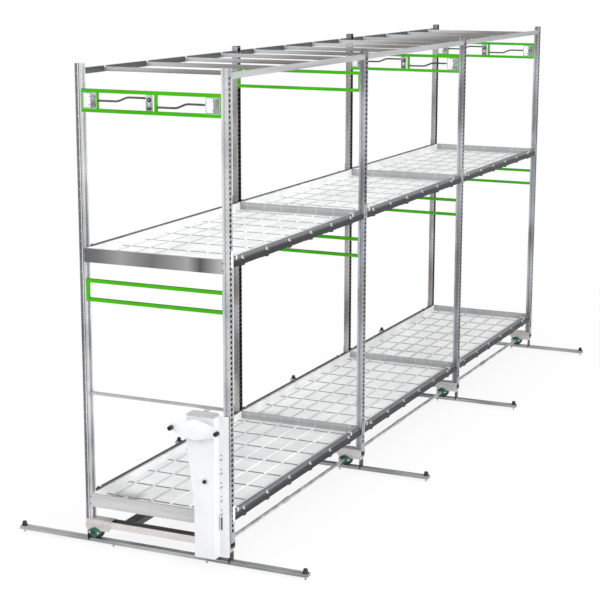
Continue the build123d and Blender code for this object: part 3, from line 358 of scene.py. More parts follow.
def postSteel(name, left, right, bands, paintedInsideShading, glint, paleInside, rearPaintedReflection, rearShare):
    # Roll-formed zinc-coated post: painted reflections in upright bands on its two outer faces, a
    # duller web and inside in painted light and shade, soft clouds down its height and a fine drawn
    # grain
    steel = Surface(name, paintedInsideShading[0][1], 0.36, 0.55)
    x, y, z = [steel.axis(axis) for axis in "XYZ"]
    behind = steel.span(y, frontY + post.tintStart, rowYs[1] - post.tintStart)
    cloud = steel.noise(1.7, 3.0, 0.5, (2.0, 1.0, 1.0))
    # Inside: painted light and shade, paler near the top and darker on the rear rows, with a
    # painted glint on each rib between two slots
    colour = steel.mix(steel.span(z, *post.pale), steel.ramp(cloud, *paintedInsideShading), paleInside)
    colour = steel.mix(behind, colour, post.rearInside)
    postLow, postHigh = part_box("uprights_right")
    slotStart = (postLow[2] + postHigh[2] + post.slotPitch) / 2
    fromSlot = steel.maths("PINGPONG", steel.maths("SUBTRACT", z, slotStart),
                           post.slotPitch / 2)
    colour = steel.mix(steel.span(fromSlot, *post.glint), colour, glint)
    onWeb = steel.span(steel.maths("ABSOLUTE", x), *post.web)
    colour = steel.mix(onWeb, colour, post.webColour)
    # Outer faces: bands of painted reflection, which weaken on the rear rows
    banded = steel.ramp(steel.span(x, left, right), *bands)
    banded = steel.mix(steel.maths("MULTIPLY", behind, rearShare), banded, rearPaintedReflection)
    colour = steel.mix(steel.span(steel.rowOffset(), *post.face), colour, banded)
    # Clouds over both; on the rear rows they are darker patches of painted shade, and a duller,
    # bluer painted shade covers those rows
    patch = steel.noise(1.1, 2.0, 0.45, (6.0, 1.0, 1.6))
    shade = steel.mix(behind, steel.ramp(cloud, *post.clouds),
                      steel.ramp(patch, *post.rearClouds))
    colour = steel.mix(post.cloudShare, colour, shade, "MULTIPLY")
    colour = steel.mix(behind, colour, post.rearTint, "MULTIPLY")
    grain = steel.noise(380.0, stretch=(1.0, 1.0, 0.06))
    return steel.finished(colour, grain, 0.1, 0.3, (0.28, 0.46))


beamLedge = 38 * mm


def steppedBeam(name, level):
    # Side beam: dark paint up to its ledge, a bare zinc-coated step above it and a drawn grain
    # along its length. On the beams on the left the step is made dark and dull by painted shade
    beam = Surface(name, "#1E1F23", 0.4, ior=1.5, gloss=0.22)
    ledge = level + beamLedge
    upper = beam.span(beam.axis("Z"), ledge - 0.5 * mm, ledge + 0.5 * mm)
    rightSide = beam.maths("GREATER_THAN", beam.axis("X"), 0.0)
    streak = beam.noise(2.0, 4.0, stretch=(12.0, 0.5, 12.0))
    paint, zincLeftPaintedShade, zincRight = [beam.ramp(streak, (0.3, dark), (0.7, light)) for dark, light in (
        ("#17181A", "#1E1F23"), ("#28292B", "#38393C"), ("#77787C", "#8E8F93"))]
    # Only the step on the right is metallic: on the left, painted shade makes it dark and dull
    unshadedStep = beam.maths("MULTIPLY", upper, rightSide)
    beam.feed("Metallic", beam.maths("MULTIPLY", unshadedStep, 0.7))
    colour = beam.mix(upper, paint, beam.mix(rightSide, zincLeftPaintedShade, zincRight))
    return beam.finished(colour, beam.noise(420.0), 0.12, 0.35, (0.32, 0.5))


def connectorPaint(name, front, rearDark, rearLight, turnY):
    # Zinc grey connectors, with a painted highlight that turns those at the front white, under the
    # same fine orange peel
    paint = Surface(name, front, 0.42, ior=1.5)
    rear = paint.ramp(paint.noise(14.0, 3.0), (0.35, rearDark), (0.65, rearLight))
    colour = paint.mix(paint.span(paint.axis("Y"), turnY, turnY + 0.2), front, rear)
    return paint.finished(colour, paint.noise(450.0), 0.1, 0.4, (0.36, 0.5))


def bandedZinc(name, bands, stretch):
    # Zinc-coated top member: its tone changes across the rack as its bands give it, with
    # long rolling streaks and a fine grain
    zinc = Surface(name, bands[0][1], 0.4, 0.45)
    streak = zinc.noise(1.4, 4.0, stretch=stretch)
    banded = zinc.ramp(zinc.span(zinc.axis("X"), -post.outer, post.outer), *bands)
    worn = zinc.ramp(streak, (0.34, "#D2D3D6"), (0.6, "#FFFFFF"))
    return zinc.finished(zinc.mix(0.8, banded, worn, "MULTIPLY"), zinc.noise(420.0), 0.12, 0.3,
                         (0.32, 0.5), streak)


def powderCoat(name, colour, shade, roughness=0.42, grain=2.2, gloss=0.5, shadedTopColour=None):
    # Sprayed and baked polyester paint: even colour, a soft gloss and fine orange peel of grain
    # millimetres, drawn a little coarse. Faces that look up can have a darker tone of painted shade
    paint = Surface(name, colour, roughness, ior=1.5, gloss=gloss)
    tone = paint.ramp(paint.noise(3.0, 3.0), (0.35, shade), (0.6, colour))
    if shadedTopColour:
        upward = paint.axis("Z", paint.coordinates["Normal"])
        tone = paint.mix(paint.span(upward, 0.6, 0.9), tone, shadedTopColour)
    return paint.finished(tone, paint.noise(1000 / grain), 0.1, 0.4,
                          (roughness - 0.06, roughness + 0.08))


def machinedSteel(name, colour, shade, roughness=0.3, metallic=1.0):
    # Turned or drawn bare steel with fine tool marks, 1.5 mm apart, across its length
    steel = Surface(name, colour, roughness, metallic)
    stain = steel.ramp(steel.noise(9.0, 4.0), (0.3, shade), (0.65, colour))
    return steel.finished(stain, steel.noise(1000 / 1.5, stretch=(0.15, 1.0, 0.15)), 0.08, 0.3,
                          (roughness - 0.07, roughness + 0.12))


def brushedFascia(name, bands):
    # Stainless sheet brushed upright: broad soft bands of painted reflection across the width and
    # fine brush lines
    sheet = Surface(name, bands[0][1], 0.34, 0.35)
    low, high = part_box("front_fascia_mid")
    banded = sheet.ramp(sheet.span(sheet.axis("X"), low[0], high[0]), *bands)
    return sheet.finished(banded, sheet.noise(420.0, 3.0, stretch=(1.0, 1.0, 0.03)), 0.08, 0.3,
                          (0.26, 0.44))


def hatchedAluminium(name, colour, shade, pitch):
    # Extruded rail with a hatch on top, about as wide as the marks in the photograph. The wave
    # texture repeats every fullTurn / 20 / scale metres
    rail = Surface(name, colour, 0.4, 0.75)
    hatch = rail.add("TexWave", {"Vector": rail.place, "Scale": fullTurn / 20 / pitch,
                                 "Distortion": 0.0}, "Fac", bands_direction="X")
    stain = rail.noise(5.0, 4.0, stretch=(0.4, 3.0, 3.0))
    return rail.finished(rail.ramp(stain, (0.32, shade), (0.68, colour)), hatch, 0.5, 0.5,
                         (0.32, 0.5), stain)


def mouldedRubber(name, colour, shade, roughness=0.7):
    # Moulded rubber or matt nylon: a fine matt skin with a dusty bloom
    rubber = Surface(name, colour, roughness, ior=1.52)
    bloom = rubber.ramp(rubber.noise(40.0, 4.0), (0.35, colour), (0.75, shade))
    return rubber.finished(bloom, rubber.noise(900.0), 0.15, 0.4)


def formedTrayPlastic(name, *paintedShadeStops):
    # Vacuum-formed white ABS: soft sheen and faint thickness clouding. The sheet's tone value is
    # painted shade, with a painted highlight on the wall ribs, from white walls and pads to the
    # grey end walls and the dark channels
    sheet = Surface(name, paintedShadeStops[0][1], 0.32, ior=1.53)
    tone = sheet.ramp(sheet.add("Attribute", output="Fac", attribute_name="tone"), *paintedShadeStops)
    clouding = sheet.ramp(sheet.noise(4.0, 3.0), (0.3, "#E4E4E6"), (0.62, "#FFFFFF"))
    return sheet.finished(sheet.mix(0.6, tone, clouding, "MULTIPLY"), sheet.noise(160.0), 0.2,
                          0.25, (0.26, 0.4))


finish = {}


def dress(finishName, material, *nodeNames):
    # Keeps a finish under its name and puts it on the CAD nodes that wear it
    finish[finishName] = material
    for nodeName in nodeNames:
        nodes[nodeName].data.materials.clear()
        nodes[nodeName].data.materials.append(material)


dress("rail", hatchedAluminium("extrudedAluminiumRail", "#C4C6C8", "#8F9194", 56.549 * mm),
      "floor_rails")
dress("stop", mouldedRubber("mouldedRubber", "#202022", "#3A3A3C"), "rail_stops")
dress("stud", machinedSteel("zincPlatedStud", "#CFD0D2", "#A5A6A8"), "levelling_studs")
# Carriage: the channel's inner faces take a darker inside colour, painted shade
dress("carriage", galvanisedSteel("galvanisedCarriage", "#C2BDBA", "#E8E4E2", "x", 0.4,
                                  paintedInsideShading="#73706E", halfDepth=39 * mm), "carriage_beams")
dress("bracket", galvanisedSteel("galvanisedBracket", "#B5AFAD", "#E2DEDC", "x", 0.5),
      "carriage_end_brackets")
dress("tie", powderCoat("darkTiePaint", "#5A5B5F", "#4A4B4F"), "carriage_ties")
dress("saddle", powderCoat("blackSaddlePaint", "#17181A", "#222326"), "anti_tip_saddles")
dress("shoe", galvanisedSteel("zincPlatedShoe", "#98999C", "#C2C4C6"), "post_shoes")
dress("bearing", powderCoat("enamelledCastIron", "#1C6A4D", "#13503A", 0.3, 4.0),
      "drive_bearings", "idler_bearings")
dress("bolt", machinedSteel("zincPlatedBolt", "#DCDDDF", "#B4B5B8", 0.24), "bearing_bolts")
dress("wheel", machinedSteel("turnedWheelSteel", "#55565A", "#3C3D40", 0.36),
      "drive_wheels", *["idler_wheel_" + str(i) for i in (1, 2, 3, 4)])
dress("shaft", machinedSteel("drawnShaftSteel", "#E2E3E5", "#A9ABAE", 0.2, 0.7),
      "drive_shaft", "shaft_couplings")
# Right-hand posts: bands of painted reflection, painted shade inside and a painted glint on each
# rib
dress("postRight", postSteel(
    "galvanisedPostRight", post.inner, post.outer,
    bands=[(0.0, "#E2E2E4"), (0.38, "#C9C9CB"), (0.43, "#8F9094"), (0.5, "#D8D8DA"),
           (0.57, "#8C8D91"), (0.62, "#DCDCDE"), (0.8, "#C4C4C7"), (1.0, "#E6E6E8")],
    paintedInsideShading=[(0.35, "#2C2D30"), (0.75, "#5C5D61")], glint="#D4D5D8", paleInside="#A8A9AB",
    rearPaintedReflection="#9A9DA3", rearShare=0.0), "uprights_right")
# Left-hand posts: bands of painted reflection, painted light inside and a painted glint on each rib
dress("postLeft", postSteel(
    "galvanisedPostLeft", -post.outer, -post.inner,
    bands=[(0.0, "#A8A8AA"), (0.12, "#7A7A7C"), (0.42, "#767678"), (0.47, "#F4F4F5"),
           (0.58, "#F4F4F5"), (0.63, "#303032"), (0.69, "#343436"), (0.75, "#DEDEE0"),
           (1.0, "#CECED0")],
    paintedInsideShading=[(0.35, "#ECECED"), (0.75, "#FFFFFF")], glint="#FFFFFF", paleInside="#FFFFFF",
    rearPaintedReflection="#D2C9C3", rearShare=0.7), "uprights_left")
dress("beamLower", steppedBeam("paintedBeamLower", lowerLevel), "shelf_beams_lower")
dress("beamMid", steppedBeam("paintedBeamMid", upperLevel), "shelf_beams_mid")
dress("whiteSteel", powderCoat("whiteBracketPaint", "#ECEDEE", "#DDDEE0"),
      "bar_clips", "cross_bar_brackets")
# Connectors: white at the front from a painted highlight, zinc grey further back
dress("connector", connectorPaint("connectorPaint", "#ECEDEE", "#636468", "#A6A7AA",
                                  frontY + 0.6), "beam_connectors")
dress("bar", powderCoat("darkBarPaint", "#3B3B3F", "#2F2F33"),
      "support_bars_lower", "support_bars_mid")
# Trays: the tone stops run from white to the dark of painted shade
dress("tray", formedTrayPlastic("vacuumFormedABS", (0.0, "#FFFFFF"), (0.25, "#E9E9EA"),
                                (0.5, "#ABACAD"), (0.75, "#838486"), (1.0, "#4E5053")),
      *["tray_" + level + "_" + str(i) for level in ("lower", "upper") for i in (1, 2, 3)])
dress("drain", powderCoat("mouldedWhiteNylon", "#E2E3E4", "#D2D3D5", 0.5), "tray_drains")
dress("fasciaLight", galvanisedSteel("satinFasciaSteel", "#B6B6B7", "#D0D0D1", "x", 0.45),
      "front_fascia_lower", "rear_fascias")
# Brushed fascia: bands of painted reflection across its width
dress("fasciaBrushed", brushedFascia("brushedStainless", [
    (0.0, "#5C5C5D"), (0.1, "#6A6A6B"), (0.27, "#969697"), (0.4, "#7C7C7D"), (0.5, "#6A6A6B"),
    (0.62, "#828283"), (0.75, "#9C9C9D"), (0.84, "#4C4C4D"), (0.92, "#8A8A8B"),
    (1.0, "#B4B4B5")]), "front_fascia_mid")
dress("screw", machinedSteel("blackenedSteel", "#3C3C3E", "#2A2A2C"), "fascia_screws", "grip_pins")
# Green frames: the faces that look up are darkened with painted shade
dress("green", powderCoat("greenPowderCoat", "#42B000", "#3CA400", 0.6, gloss=0.12,
                          shadedTopColour="#1F6A00"), "frames_upper", "frames_lower")
dress("gear", galvanisedSteel("zincedGearWork", "#77787A", "#B4B5B7", "x", 0.6), "hanger_boxes")
dress("rod", machinedSteel("darkDrawnRod", "#5C5F58", "#40433E"), "hanger_rods")
# Top beams: dark over the left half of the rack, painted shade on the left-hand beam's inner face
dress("topBeam", bandedZinc("galvanisedTopBeam", [
    (0.0, "#5C5D60"), (0.48, "#5C5D60"), (0.52, "#B9BABC"), (1.0, "#C2C3C5")], (14, 0.6, 14)),
      "top_side_beams")
dress("braceTube", galvanisedSteel("galvanisedBraceTube", "#A4A4A6", "#D6D6D8", "x"),
      "brace_tube")
# Cross bars: lighter at the left end, darker and browner to the right
dress("crossBar", bandedZinc("galvanisedCrossBar", [
    (0.0, "#D2D3D5"), (0.3, "#B6B6B8"), (0.6, "#8E8B88"), (1.0, "#827E7B")], (0.6, 14, 14)),
      "top_cross_bars")
dress("column", powderCoat("whiteColumnPaint", "#E6E7E9", "#DFE0E2", 0.4, gloss=0.3),
      "column_housing")
dress("cap", powderCoat("greyCapPaint", "#C0C1C3", "#A4A5A8"), "column_back_plate", "column_cap")
dress("chain", machinedSteel("oiledChainSteel", "#606164", "#434447", 0.35),
      "drive_chain", "lower_sprocket")
dress("handle", powderCoat("whiteHandlePaint", "#EAEBEC", "#E3E4E6", 0.36, gloss=0.3),
      "hub_bearing", "handle_plate", "hub_shaft")
dress("grip", mouldedRubber("mattNylonGrip", "#0C0C0D", "#19191B", 0.42),
      "grip_left", "grip_right", "lock_knob")
print("materials:", len(finish))

# Camera where the photographer stood, solved from the photograph: metres, degrees, millimetres
photoCamera = SimpleNamespace(
    place=(5.6783, frontY - 9.8967, 4.2658 + railTop), yaw=24.666, pitch=11.921, roll=0.1,
    lens=97.867)


def makeCamera():
    data = bpy.data.cameras.new("photoCamera")
    data.lens = photoCamera.lens
    data.sensor_width = 36.0
    data.clip_start = 0.1
    data.clip_end = 200.0
    camera = addObject("photoCamera", data)
    turn = Matrix.Rotation(math.radians(photoCamera.yaw), 4, "Z")
    tilt = Matrix.Rotation(math.radians(90 - photoCamera.pitch), 4, "X")
    roll = Matrix.Rotation(math.radians(photoCamera.roll), 4, "Z")
    camera.matrix_world = Matrix.Translation(photoCamera.place) @ turn @ tilt @ roll
    bpy.context.scene.camera = camera


makeCamera()
print("camera placed")

# Studio: a white sweep of floor that fades to plain white, a pale surround and three soft lamps
studio = SimpleNamespace(
    # metres, tones of the surround, and where the shadow on the floor fades out
    floorHalf=80.0, horizonLevel=0.3, skyLevel=0.9, brightFrom=0.6, shadowShare=0.12,
    fadeStart=5.0, fadeEnd=9.0,
    # name, place, target, size in metres and power in watts
    lamps=[("keyLamp", (-6.0, -12.0, 8.0), (0.0, 0.0, 1.5), 6.0, 400.0),
           ("topLamp", (0.0, 0.0, 11.0), (0.0, 0.0, 0.0), 8.0, 230.0),
           ("sideLamp", (11.0, -7.0, 6.0), (0.0, -1.0, 1.5), 4.0, 760.0)])


def makeFloor():
    half = studio.floorHalf
    corners = [(-half, -half, 0), (half, -half, 0), (half, half, 0), (-half, half, 0)]
    # White paper that keeps a faint shadow near the rack and turns to plain white further out
    material = bpy.data.materials.new("whiteSweep")
    sweep = Nodes(material)
    paper = sweep.add("BsdfDiffuse", {"Color": "#F6F6F6"}, "BSDF")
    white = sweep.add("Emission", {"Strength": 1.0}, "Emission")
    seen = sweep.add("LightPath").outputs
    seenShare = sweep.maths("MAXIMUM", seen["Is Camera Ray"], seen["Is Glossy Ray"])
    distance = sweep.add("VectorMath", {0: sweep.place}, "Value", operation="LENGTH")
    fade = sweep.span(distance, studio.fadeStart, studio.fadeEnd,
                      1 - studio.shadowShare, 1.0)
    share = sweep.maths("MULTIPLY", seenShare, fade)
    mixed = sweep.add("MixShader", {0: share, 1: paper, 2: white}, "Shader")
    sweep.add("OutputMaterial", {"Surface": mixed})
    mesh = makeMesh("studioFloor", corners, [(0, 1, 2, 3)], material)
    floor = addObject("studioFloor", mesh)


def makeSurround():
    # Plain white to the camera, and to everything else a grey that rises from horizon to sky
    world = bpy.data.worlds.new("paleSurround")
    bpy.context.scene.world = world
    sky = Nodes(world)
    white = sky.add("Background", {"Color": "#FFFFFF", "Strength": 1.0}, "Background")
    upward = sky.axis("Z", sky.coordinates["Generated"])
    level = sky.span(upward, 0.0, studio.brightFrom, studio.horizonLevel,
                     studio.skyLevel, "SMOOTHSTEP")
    soft = sky.add("Background", {"Color": "#FFFFFF", "Strength": level}, "Background")
    seen = sky.add("LightPath", output="Is Camera Ray")
    mixed = sky.add("MixShader", {0: seen, 1: soft, 2: white}, "Shader")
    sky.add("OutputWorld", {"Surface": mixed})


def makeLamp(name, place, target, size, power):
    data = bpy.data.lights.new(name, "AREA")
    data.shape = "SQUARE"
    data.size = size
    data.energy = power
    lamp = addObject(name, data)
    turn = (Vector(target) - Vector(place)).to_track_quat("-Z", "Y").to_matrix().to_4x4()
    lamp.matrix_world = Matrix.Translation(place) @ turn


makeFloor()
makeSurround()
for lamp in studio.lamps:
    makeLamp(*lamp)
bpy.context.scene.view_settings.view_transform = "Standard"
print("studio lit")

# Trays: one formed sheet each, a basin with raised pads between channels, and a flange at each side
tray = SimpleNamespace(
    halfWidth=550 * mm, flangeHalf=554.5 * mm, flangeEnd=38 * mm, flangeLip=5 * mm,
    flangeBend=2 * mm, rimDrop=6 * mm, sheet=3.2 * mm, foot=12 * mm,
    # steps of a rounding, and how far inner mesh lines keep from a wall, in foot radii
    roundSteps=5, clearFeet=1.5, sharpAngle=50, padHeight=5 * mm, padCrown=0.8 * mm,
    channelHalf=8 * mm, channelSide=2.5 * mm,
    # where the mesh has its lines at a channel, in half widths from its middle
    channelLines=[-2.4, -1.4, -1.0, -0.55, 0.0, 0.55, 1.0, 1.4, 2.4], crossHalf=9.5 * mm,
    pitchX=161 * mm, channelsX=7, firstY=176 * mm, pitchY=312 * mm, endClear=30 * mm,
    # ribs and flutes of the end walls, and the shares of the depth between which they stand
    ribHalf=5 * mm, ribDepth=3 * mm, ribFrom=0.2, ribTo=0.98, flutePitch=40.25 * mm,
    fluteShare=0.35,
    # the drain's well, across from the middle and along from the row in front
    wellX=(-505 * mm, -250 * mm), wellY=(134 * mm, 203 * mm),
    # painted shade from 0 white to 1 dark: pads and lengthwise channels have one for each bay
    padTones={"lower": (0.2, 0.03, 0.0), "upper": (0.1, 0.04, 0.03)}, lineTones=(0.0, 0.3, 0.36),
    leftLineTone=0.34, leftLineEnd=-0.15, leftLineBlend=0.1, crossingFade=0.8, wellTone=0.6,
    wallTone=0.56, wallFrom=0.1, ribTone=0.08, edgeTone=0.62)


def smoothStep(share):
    share = np.clip(share, 0, 1)
    return share * share * (3 - 2 * share)


def nearShare(distance, reach, blend):
    # 1 within the reach, 0 further than the reach and the blend together
    return 1 - smoothStep((distance - reach) / blend)


def basinLines(low, high, channels, depth):
    # Places along one side of the basin with the wall's lift at each, close together at walls,
    # which stand on a quarter circle, and at channels
    footIn, footLift = quarterRound(tray.foot, tray.roundSteps)
    clear = tray.foot * tray.clearFeet
    lines = np.array(tray.channelLines) * (tray.channelHalf + tray.channelSide)
    inner = np.concatenate([centre + lines for centre in channels])
    middles = [(a + b) / 2 for a, b in zip(channels[:-1], channels[1:])]
    inner = np.sort(np.concatenate([inner, middles]))
    inner = inner[(inner > low + clear) & (inner < high - clear)]
    wallPlaces = np.concatenate([[low, low], low + footIn[::-1]])
    wallLifts = np.concatenate([[depth, 0.5 * depth], footLift[::-1]])
    places = np.concatenate([wallPlaces, inner, (high - (wallPlaces - low))[::-1]])
    lifts = np.concatenate([wallLifts, 0 * inner, wallLifts[::-1]])
    return places, lifts


def basinShell(nodeName, bayStart, paintedPadShade, paintedLineShade):
    low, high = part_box(nodeName)
    front, rear, base, rim = low[1], high[1], low[2], high[2] - tray.rimDrop
    sheet = tray.sheet
    side = tray.channelSide
    half = tray.halfWidth - sheet
    floorZ = base + sheet
    depth = rim - floorZ
    channelXs = (np.arange(tray.channelsX) - (tray.channelsX - 1) / 2) * tray.pitchX
    channelYs = np.arange(bayStart + tray.firstY, rear - tray.endClear, tray.pitchY)
    xs, liftX = basinLines(-half, half, channelXs, depth)
    ys, liftY = basinLines(front + sheet, rear - sheet, channelYs, depth)
    gridX, gridY = np.meshgrid(xs, ys, indexing="ij")
    lift = np.maximum(liftX[:, None], liftY[None, :])
    wallShare = smoothStep(lift / tray.foot)
    # Pads stand between the channels, with a flat well at the drain
    nearestX = np.abs(gridX[..., None] - channelXs).min(axis=2)
    nearestY = np.abs(gridY[..., None] - channelYs).min(axis=2)
    padX = smoothStep((nearestX - tray.channelHalf) / side)
    padY = smoothStep((nearestY - tray.channelHalf) / side)
    inWell = 1.0
    for places, (start, end) in ((gridX, tray.wellX), (gridY - bayStart, tray.wellY)):
        inWell = inWell * smoothStep((places - start) / side) * smoothStep((end - places) / side)
    pad = padX * padY * (1 - inWell)
    padLift = (tray.padHeight * pad + tray.padCrown * pad) * (1 - wallShare)
    # Ribs on the end walls swell out of the wall where the channels meet it, with flutes between:
    # flute = (1 + cos(turns along the wall)) / 2
    rib = nearShare(nearestX, tray.ribHalf, 2 * tray.ribHalf)
    flute = 0.5 + 0.5 * np.cos(fullTurn * gridX / tray.flutePitch)
    atEnd = (liftY[None, :] > tray.ribFrom * depth) * (lift < tray.ribTo * depth)
    atEnd = atEnd * (np.abs(gridX) < half - tray.endClear)
    swell = atEnd * (tray.ribDepth * np.maximum(rib, tray.fluteShare * flute))
    outY = gridY + np.where(gridY < (front + rear) / 2, 1.0, -1.0) * swell
    grid = np.stack([gridX, outY, floorZ + np.maximum(lift, padLift)], axis=2)
    # Tone, painted shade: cross channels dark, lengthwise ones pale with a grey edge and darker on
    # the left, a dark drain well, end walls grey with ribs made paler by a painted highlight
    crossShare = nearShare(nearestY, tray.crossHalf, side)
    edgeAway = np.abs(gridX[..., None] - channelXs - tray.channelHalf - side).min(axis=2)
    edgeShare = nearShare(edgeAway, 0.0, side)
    lineShare = nearShare(nearestX, tray.channelHalf + side, side)
    leftShare = nearShare(gridX, tray.leftLineEnd, tray.leftLineBlend)
    lineTones = np.maximum(paintedLineShade, tray.leftLineTone * leftShare)
    tone = paintedPadShade * (1 - lineShare) + lineTones * lineShare + tray.edgeTone * edgeShare
    crossPaintedShade = crossShare * (1 - tray.crossingFade * lineShare)
    tone = np.maximum(tone * (1 - crossShare), crossPaintedShade)
    tone = np.maximum(tone, tray.wellTone * inWell) * (1 - wallShare)
    wallTone = tray.wallTone - tray.ribTone * rib
    tone = np.maximum(tone, wallTone * (liftY[None, :] > tray.wallFrom * depth))
    return gridShell(grid, closed=False), tone.ravel()


def flangeShells(rim, bayStart):
    # A flat strip along each side between the posts, with a small turned-down lip. In the scene it
    # ends at the side beams' inner edge, so that their tops show as they do in the photograph
    inner, outer = tray.halfWidth - tray.sheet, tray.flangeHalf
    bendIn, bendDrop = quarterRound(tray.flangeBend, tray.roundSteps)
    xs = np.concatenate([[inner], outer - bendIn, [outer]])
    zs = np.concatenate([[rim], rim - bendDrop, [rim - tray.flangeLip]])
    ys = np.linspace(bayStart + tray.flangeEnd, bayStart + bayLength - tray.flangeEnd, 3)
    parts = np.broadcast_arrays(xs[:, None], ys[None, :], zs[:, None])
    right = gridShell(np.stack(parts, axis=2), closed=False)
    return [right, mirroredShell(right)]


def makeTray(level, bay):
    nodeName = "tray_" + level + "_" + str(bay + 1)
    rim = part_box(nodeName)[1][2] - tray.rimDrop
    basin, tone = basinShell(nodeName, rowYs[bay], tray.padTones[level][bay],
                             tray.lineTones[bay])
    points, faces = joinShells([basin] + flangeShells(rim, rowYs[bay]))
    name = "tray" + level.title() + str(bay + 1) + "Sheet"
    mesh = makeMesh(name, points, faces, finish["tray"])
    mesh.shade_smooth()
    # The tone attribute carries the sheet's painted shade and highlight
    values = np.zeros(len(points), np.float32)
    values[:len(tone)] = tone
    mesh.attributes.new("tone", "FLOAT", "POINT").data.foreach_set("value", values)
    piece = addObject(name, mesh)
    # Faces of the open sheet look up so that its thickness grows downwards
    normals = np.zeros(len(mesh.polygons) * 3)
    mesh.polygons.foreach_get("normal", normals)
    if normals[2::3].sum() < 0:
        mesh.flip_normals()
    mesh.set_sharp_from_angle(angle=math.radians(tray.sharpAngle))
    wall = piece.modifiers.new("thickness", "SOLIDIFY")
    wall.thickness = tray.sheet
    wall.offset = -1.0
    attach(piece, "rack")
    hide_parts(nodeName)


for bay in (0, 1, 2):
    makeTray("lower", bay)
    makeTray("upper", bay)
print("trays formed")

# Rubber stops: a bell turned once round the upright, with a dimple over its fixing bolt
stop = SimpleNamespace(
    inset=24 * mm,
    # radius and height above the rail in millimetres
    profile=[(1, 30.2), (6, 30.4), (8, 32.2), (11, 33), (14, 32.6), (15.6, 31), (16.4, 27),
             (18.4, 16), (20.2, 8), (21.2, 5.8), (22.8, 5), (23.8, 4.2), (24, 2.6), (24, 0.8),
             (23.4, 0), (1, 0)])


def makeStops():
    low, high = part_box("rail_stops")
    shells = [turnedShell(stop.profile, (x, y, railTop), "z")
              for x in (low[0] + stop.inset, high[0] - stop.inset) for y in rowYs]
    makePiece("rubberStops", shells, "track", "stop", ["rail_stops"],
              smoothAngle=50)


makeStops()

# Levelling studs: a foot, a thread whose radius steps in and out every half pitch, and a lock nut
stud = SimpleNamespace(
    reach=8 * mm, innerShare=1 / 3,
    # radii and heights in millimetres
    foot=[(1, 0), (7.2, 0), (8, 0.8), (8, 3.4), (7.4, 4.2), (5.2, 5)], threadStart=5.0,
    threadEnd=25.0, halfPitch=0.75, threadRadii=(5.2, 4.6),
    nut=[(4, 15), (7.2, 15), (8, 15.8), (8, 21.2), (7.2, 22), (4, 22)])


def makeStuds():
    heights = np.arange(stud.threadStart, stud.threadEnd, stud.halfPitch)
    thread = [(stud.threadRadii[i % 2], z) for i, z in enumerate(heights)]
    profile = stud.foot + thread + [(1, stud.threadEnd)]
    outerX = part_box("levelling_studs")[1][0] - stud.reach
    innerX = outerX * stud.innerShare
    shells = []
    for y in rowYs:
        for x in (-outerX, -innerX, innerX, outerX):
            shells.append(turnedShell(profile, (x, y, 0), "z", 16))
            shells.append(turnedShell(stud.nut, (x, y, 0), "z", 6))
    makePiece("levellingStuds", shells, "track", "stud", ["levelling_studs"],
              smoothAngle=35)


makeStuds()

# Wheels: a turned tread with rounded edges, a dished web and a hub. Idler wheels have an axle too
wheel = SimpleNamespace(
    # radius and distance from the wheel's middle in millimetres
    half=[(15.05, -14), (24.6, -14), (26, -13.2), (26.8, -9.8), (28.4, -9), (45.6, -9),
          (47.2, -9.8), (48, -13.2), (49.2, -14), (55.6, -14), (57.3, -13.2), (58, -11.6)],
    axle=[(1, -63.6), (3, -66), (13.6, -66), (15, -64.4), (15, 64.4), (13.6, 66), (3, 66),
          (1, 63.6)])


def makeWheels():
    profile = wheel.half + [(radius, -along) for radius, along in wheel.half[::-1]]
    shells = [turnedShell(profile, (driveX, y, axleZ), "y", 64) for y in rowYs]
    makePiece("driveWheels", shells, "drive_line", "wheel", ["drive_wheels"])
    for i, y in enumerate(rowYs, 1):
        centre = (idlerX, y, axleZ)
        shells = [turnedShell(profile, centre, "y", 64),
                  turnedShell(wheel.axle, centre, "y", 24)]
        makePiece("idlerWheel" + str(i), shells, "idler_" + str(i), "wheel",
                  ["idler_wheel_" + str(i)])


makeWheels()
print("wheels, stops and studs made")

# Bearings: a two-eared cast plate, the band round three circles, with a raised boss whose rim is
# rolled over. Front ones are drawn towards the front and rear ones the other way
bearing = SimpleNamespace(
    seat=42 * mm, plate=12 * mm, edge=3 * mm, earX=36 * mm, earRadius=18 * mm,
    bodyRadius=36.5 * mm,
    # radius and distance out from the seat in millimetres
    boss=[(15.1, 6), (15.1, 20.6), (16.4, 22), (19.6, 22), (20.4, 20.4), (22.2, 20.4),
          (23.2, 22), (25, 21.8), (26.6, 20), (27, 17.6), (28, 14.2), (30.4, 12.2), (31, 6)],
    # number of sides and profile of the head, washer, tail and nut of a bolt
    bolt=[(6, [(1, 19.4), (6.6, 19.4), (8.4, 18.2), (8.4, 13.4), (1, 13.4)]),
          (20, [(1, 13.6), (9.6, 13.6), (10, 13.2), (10, 12), (1, 12)]),
          (12, [(1, -13), (4.2, -13), (5, -12), (5, 14)]),
          (6, [(4, -11), (7, -11), (8.4, -9.8), (8.4, -3.2), (7, -3), (4, -3)])])


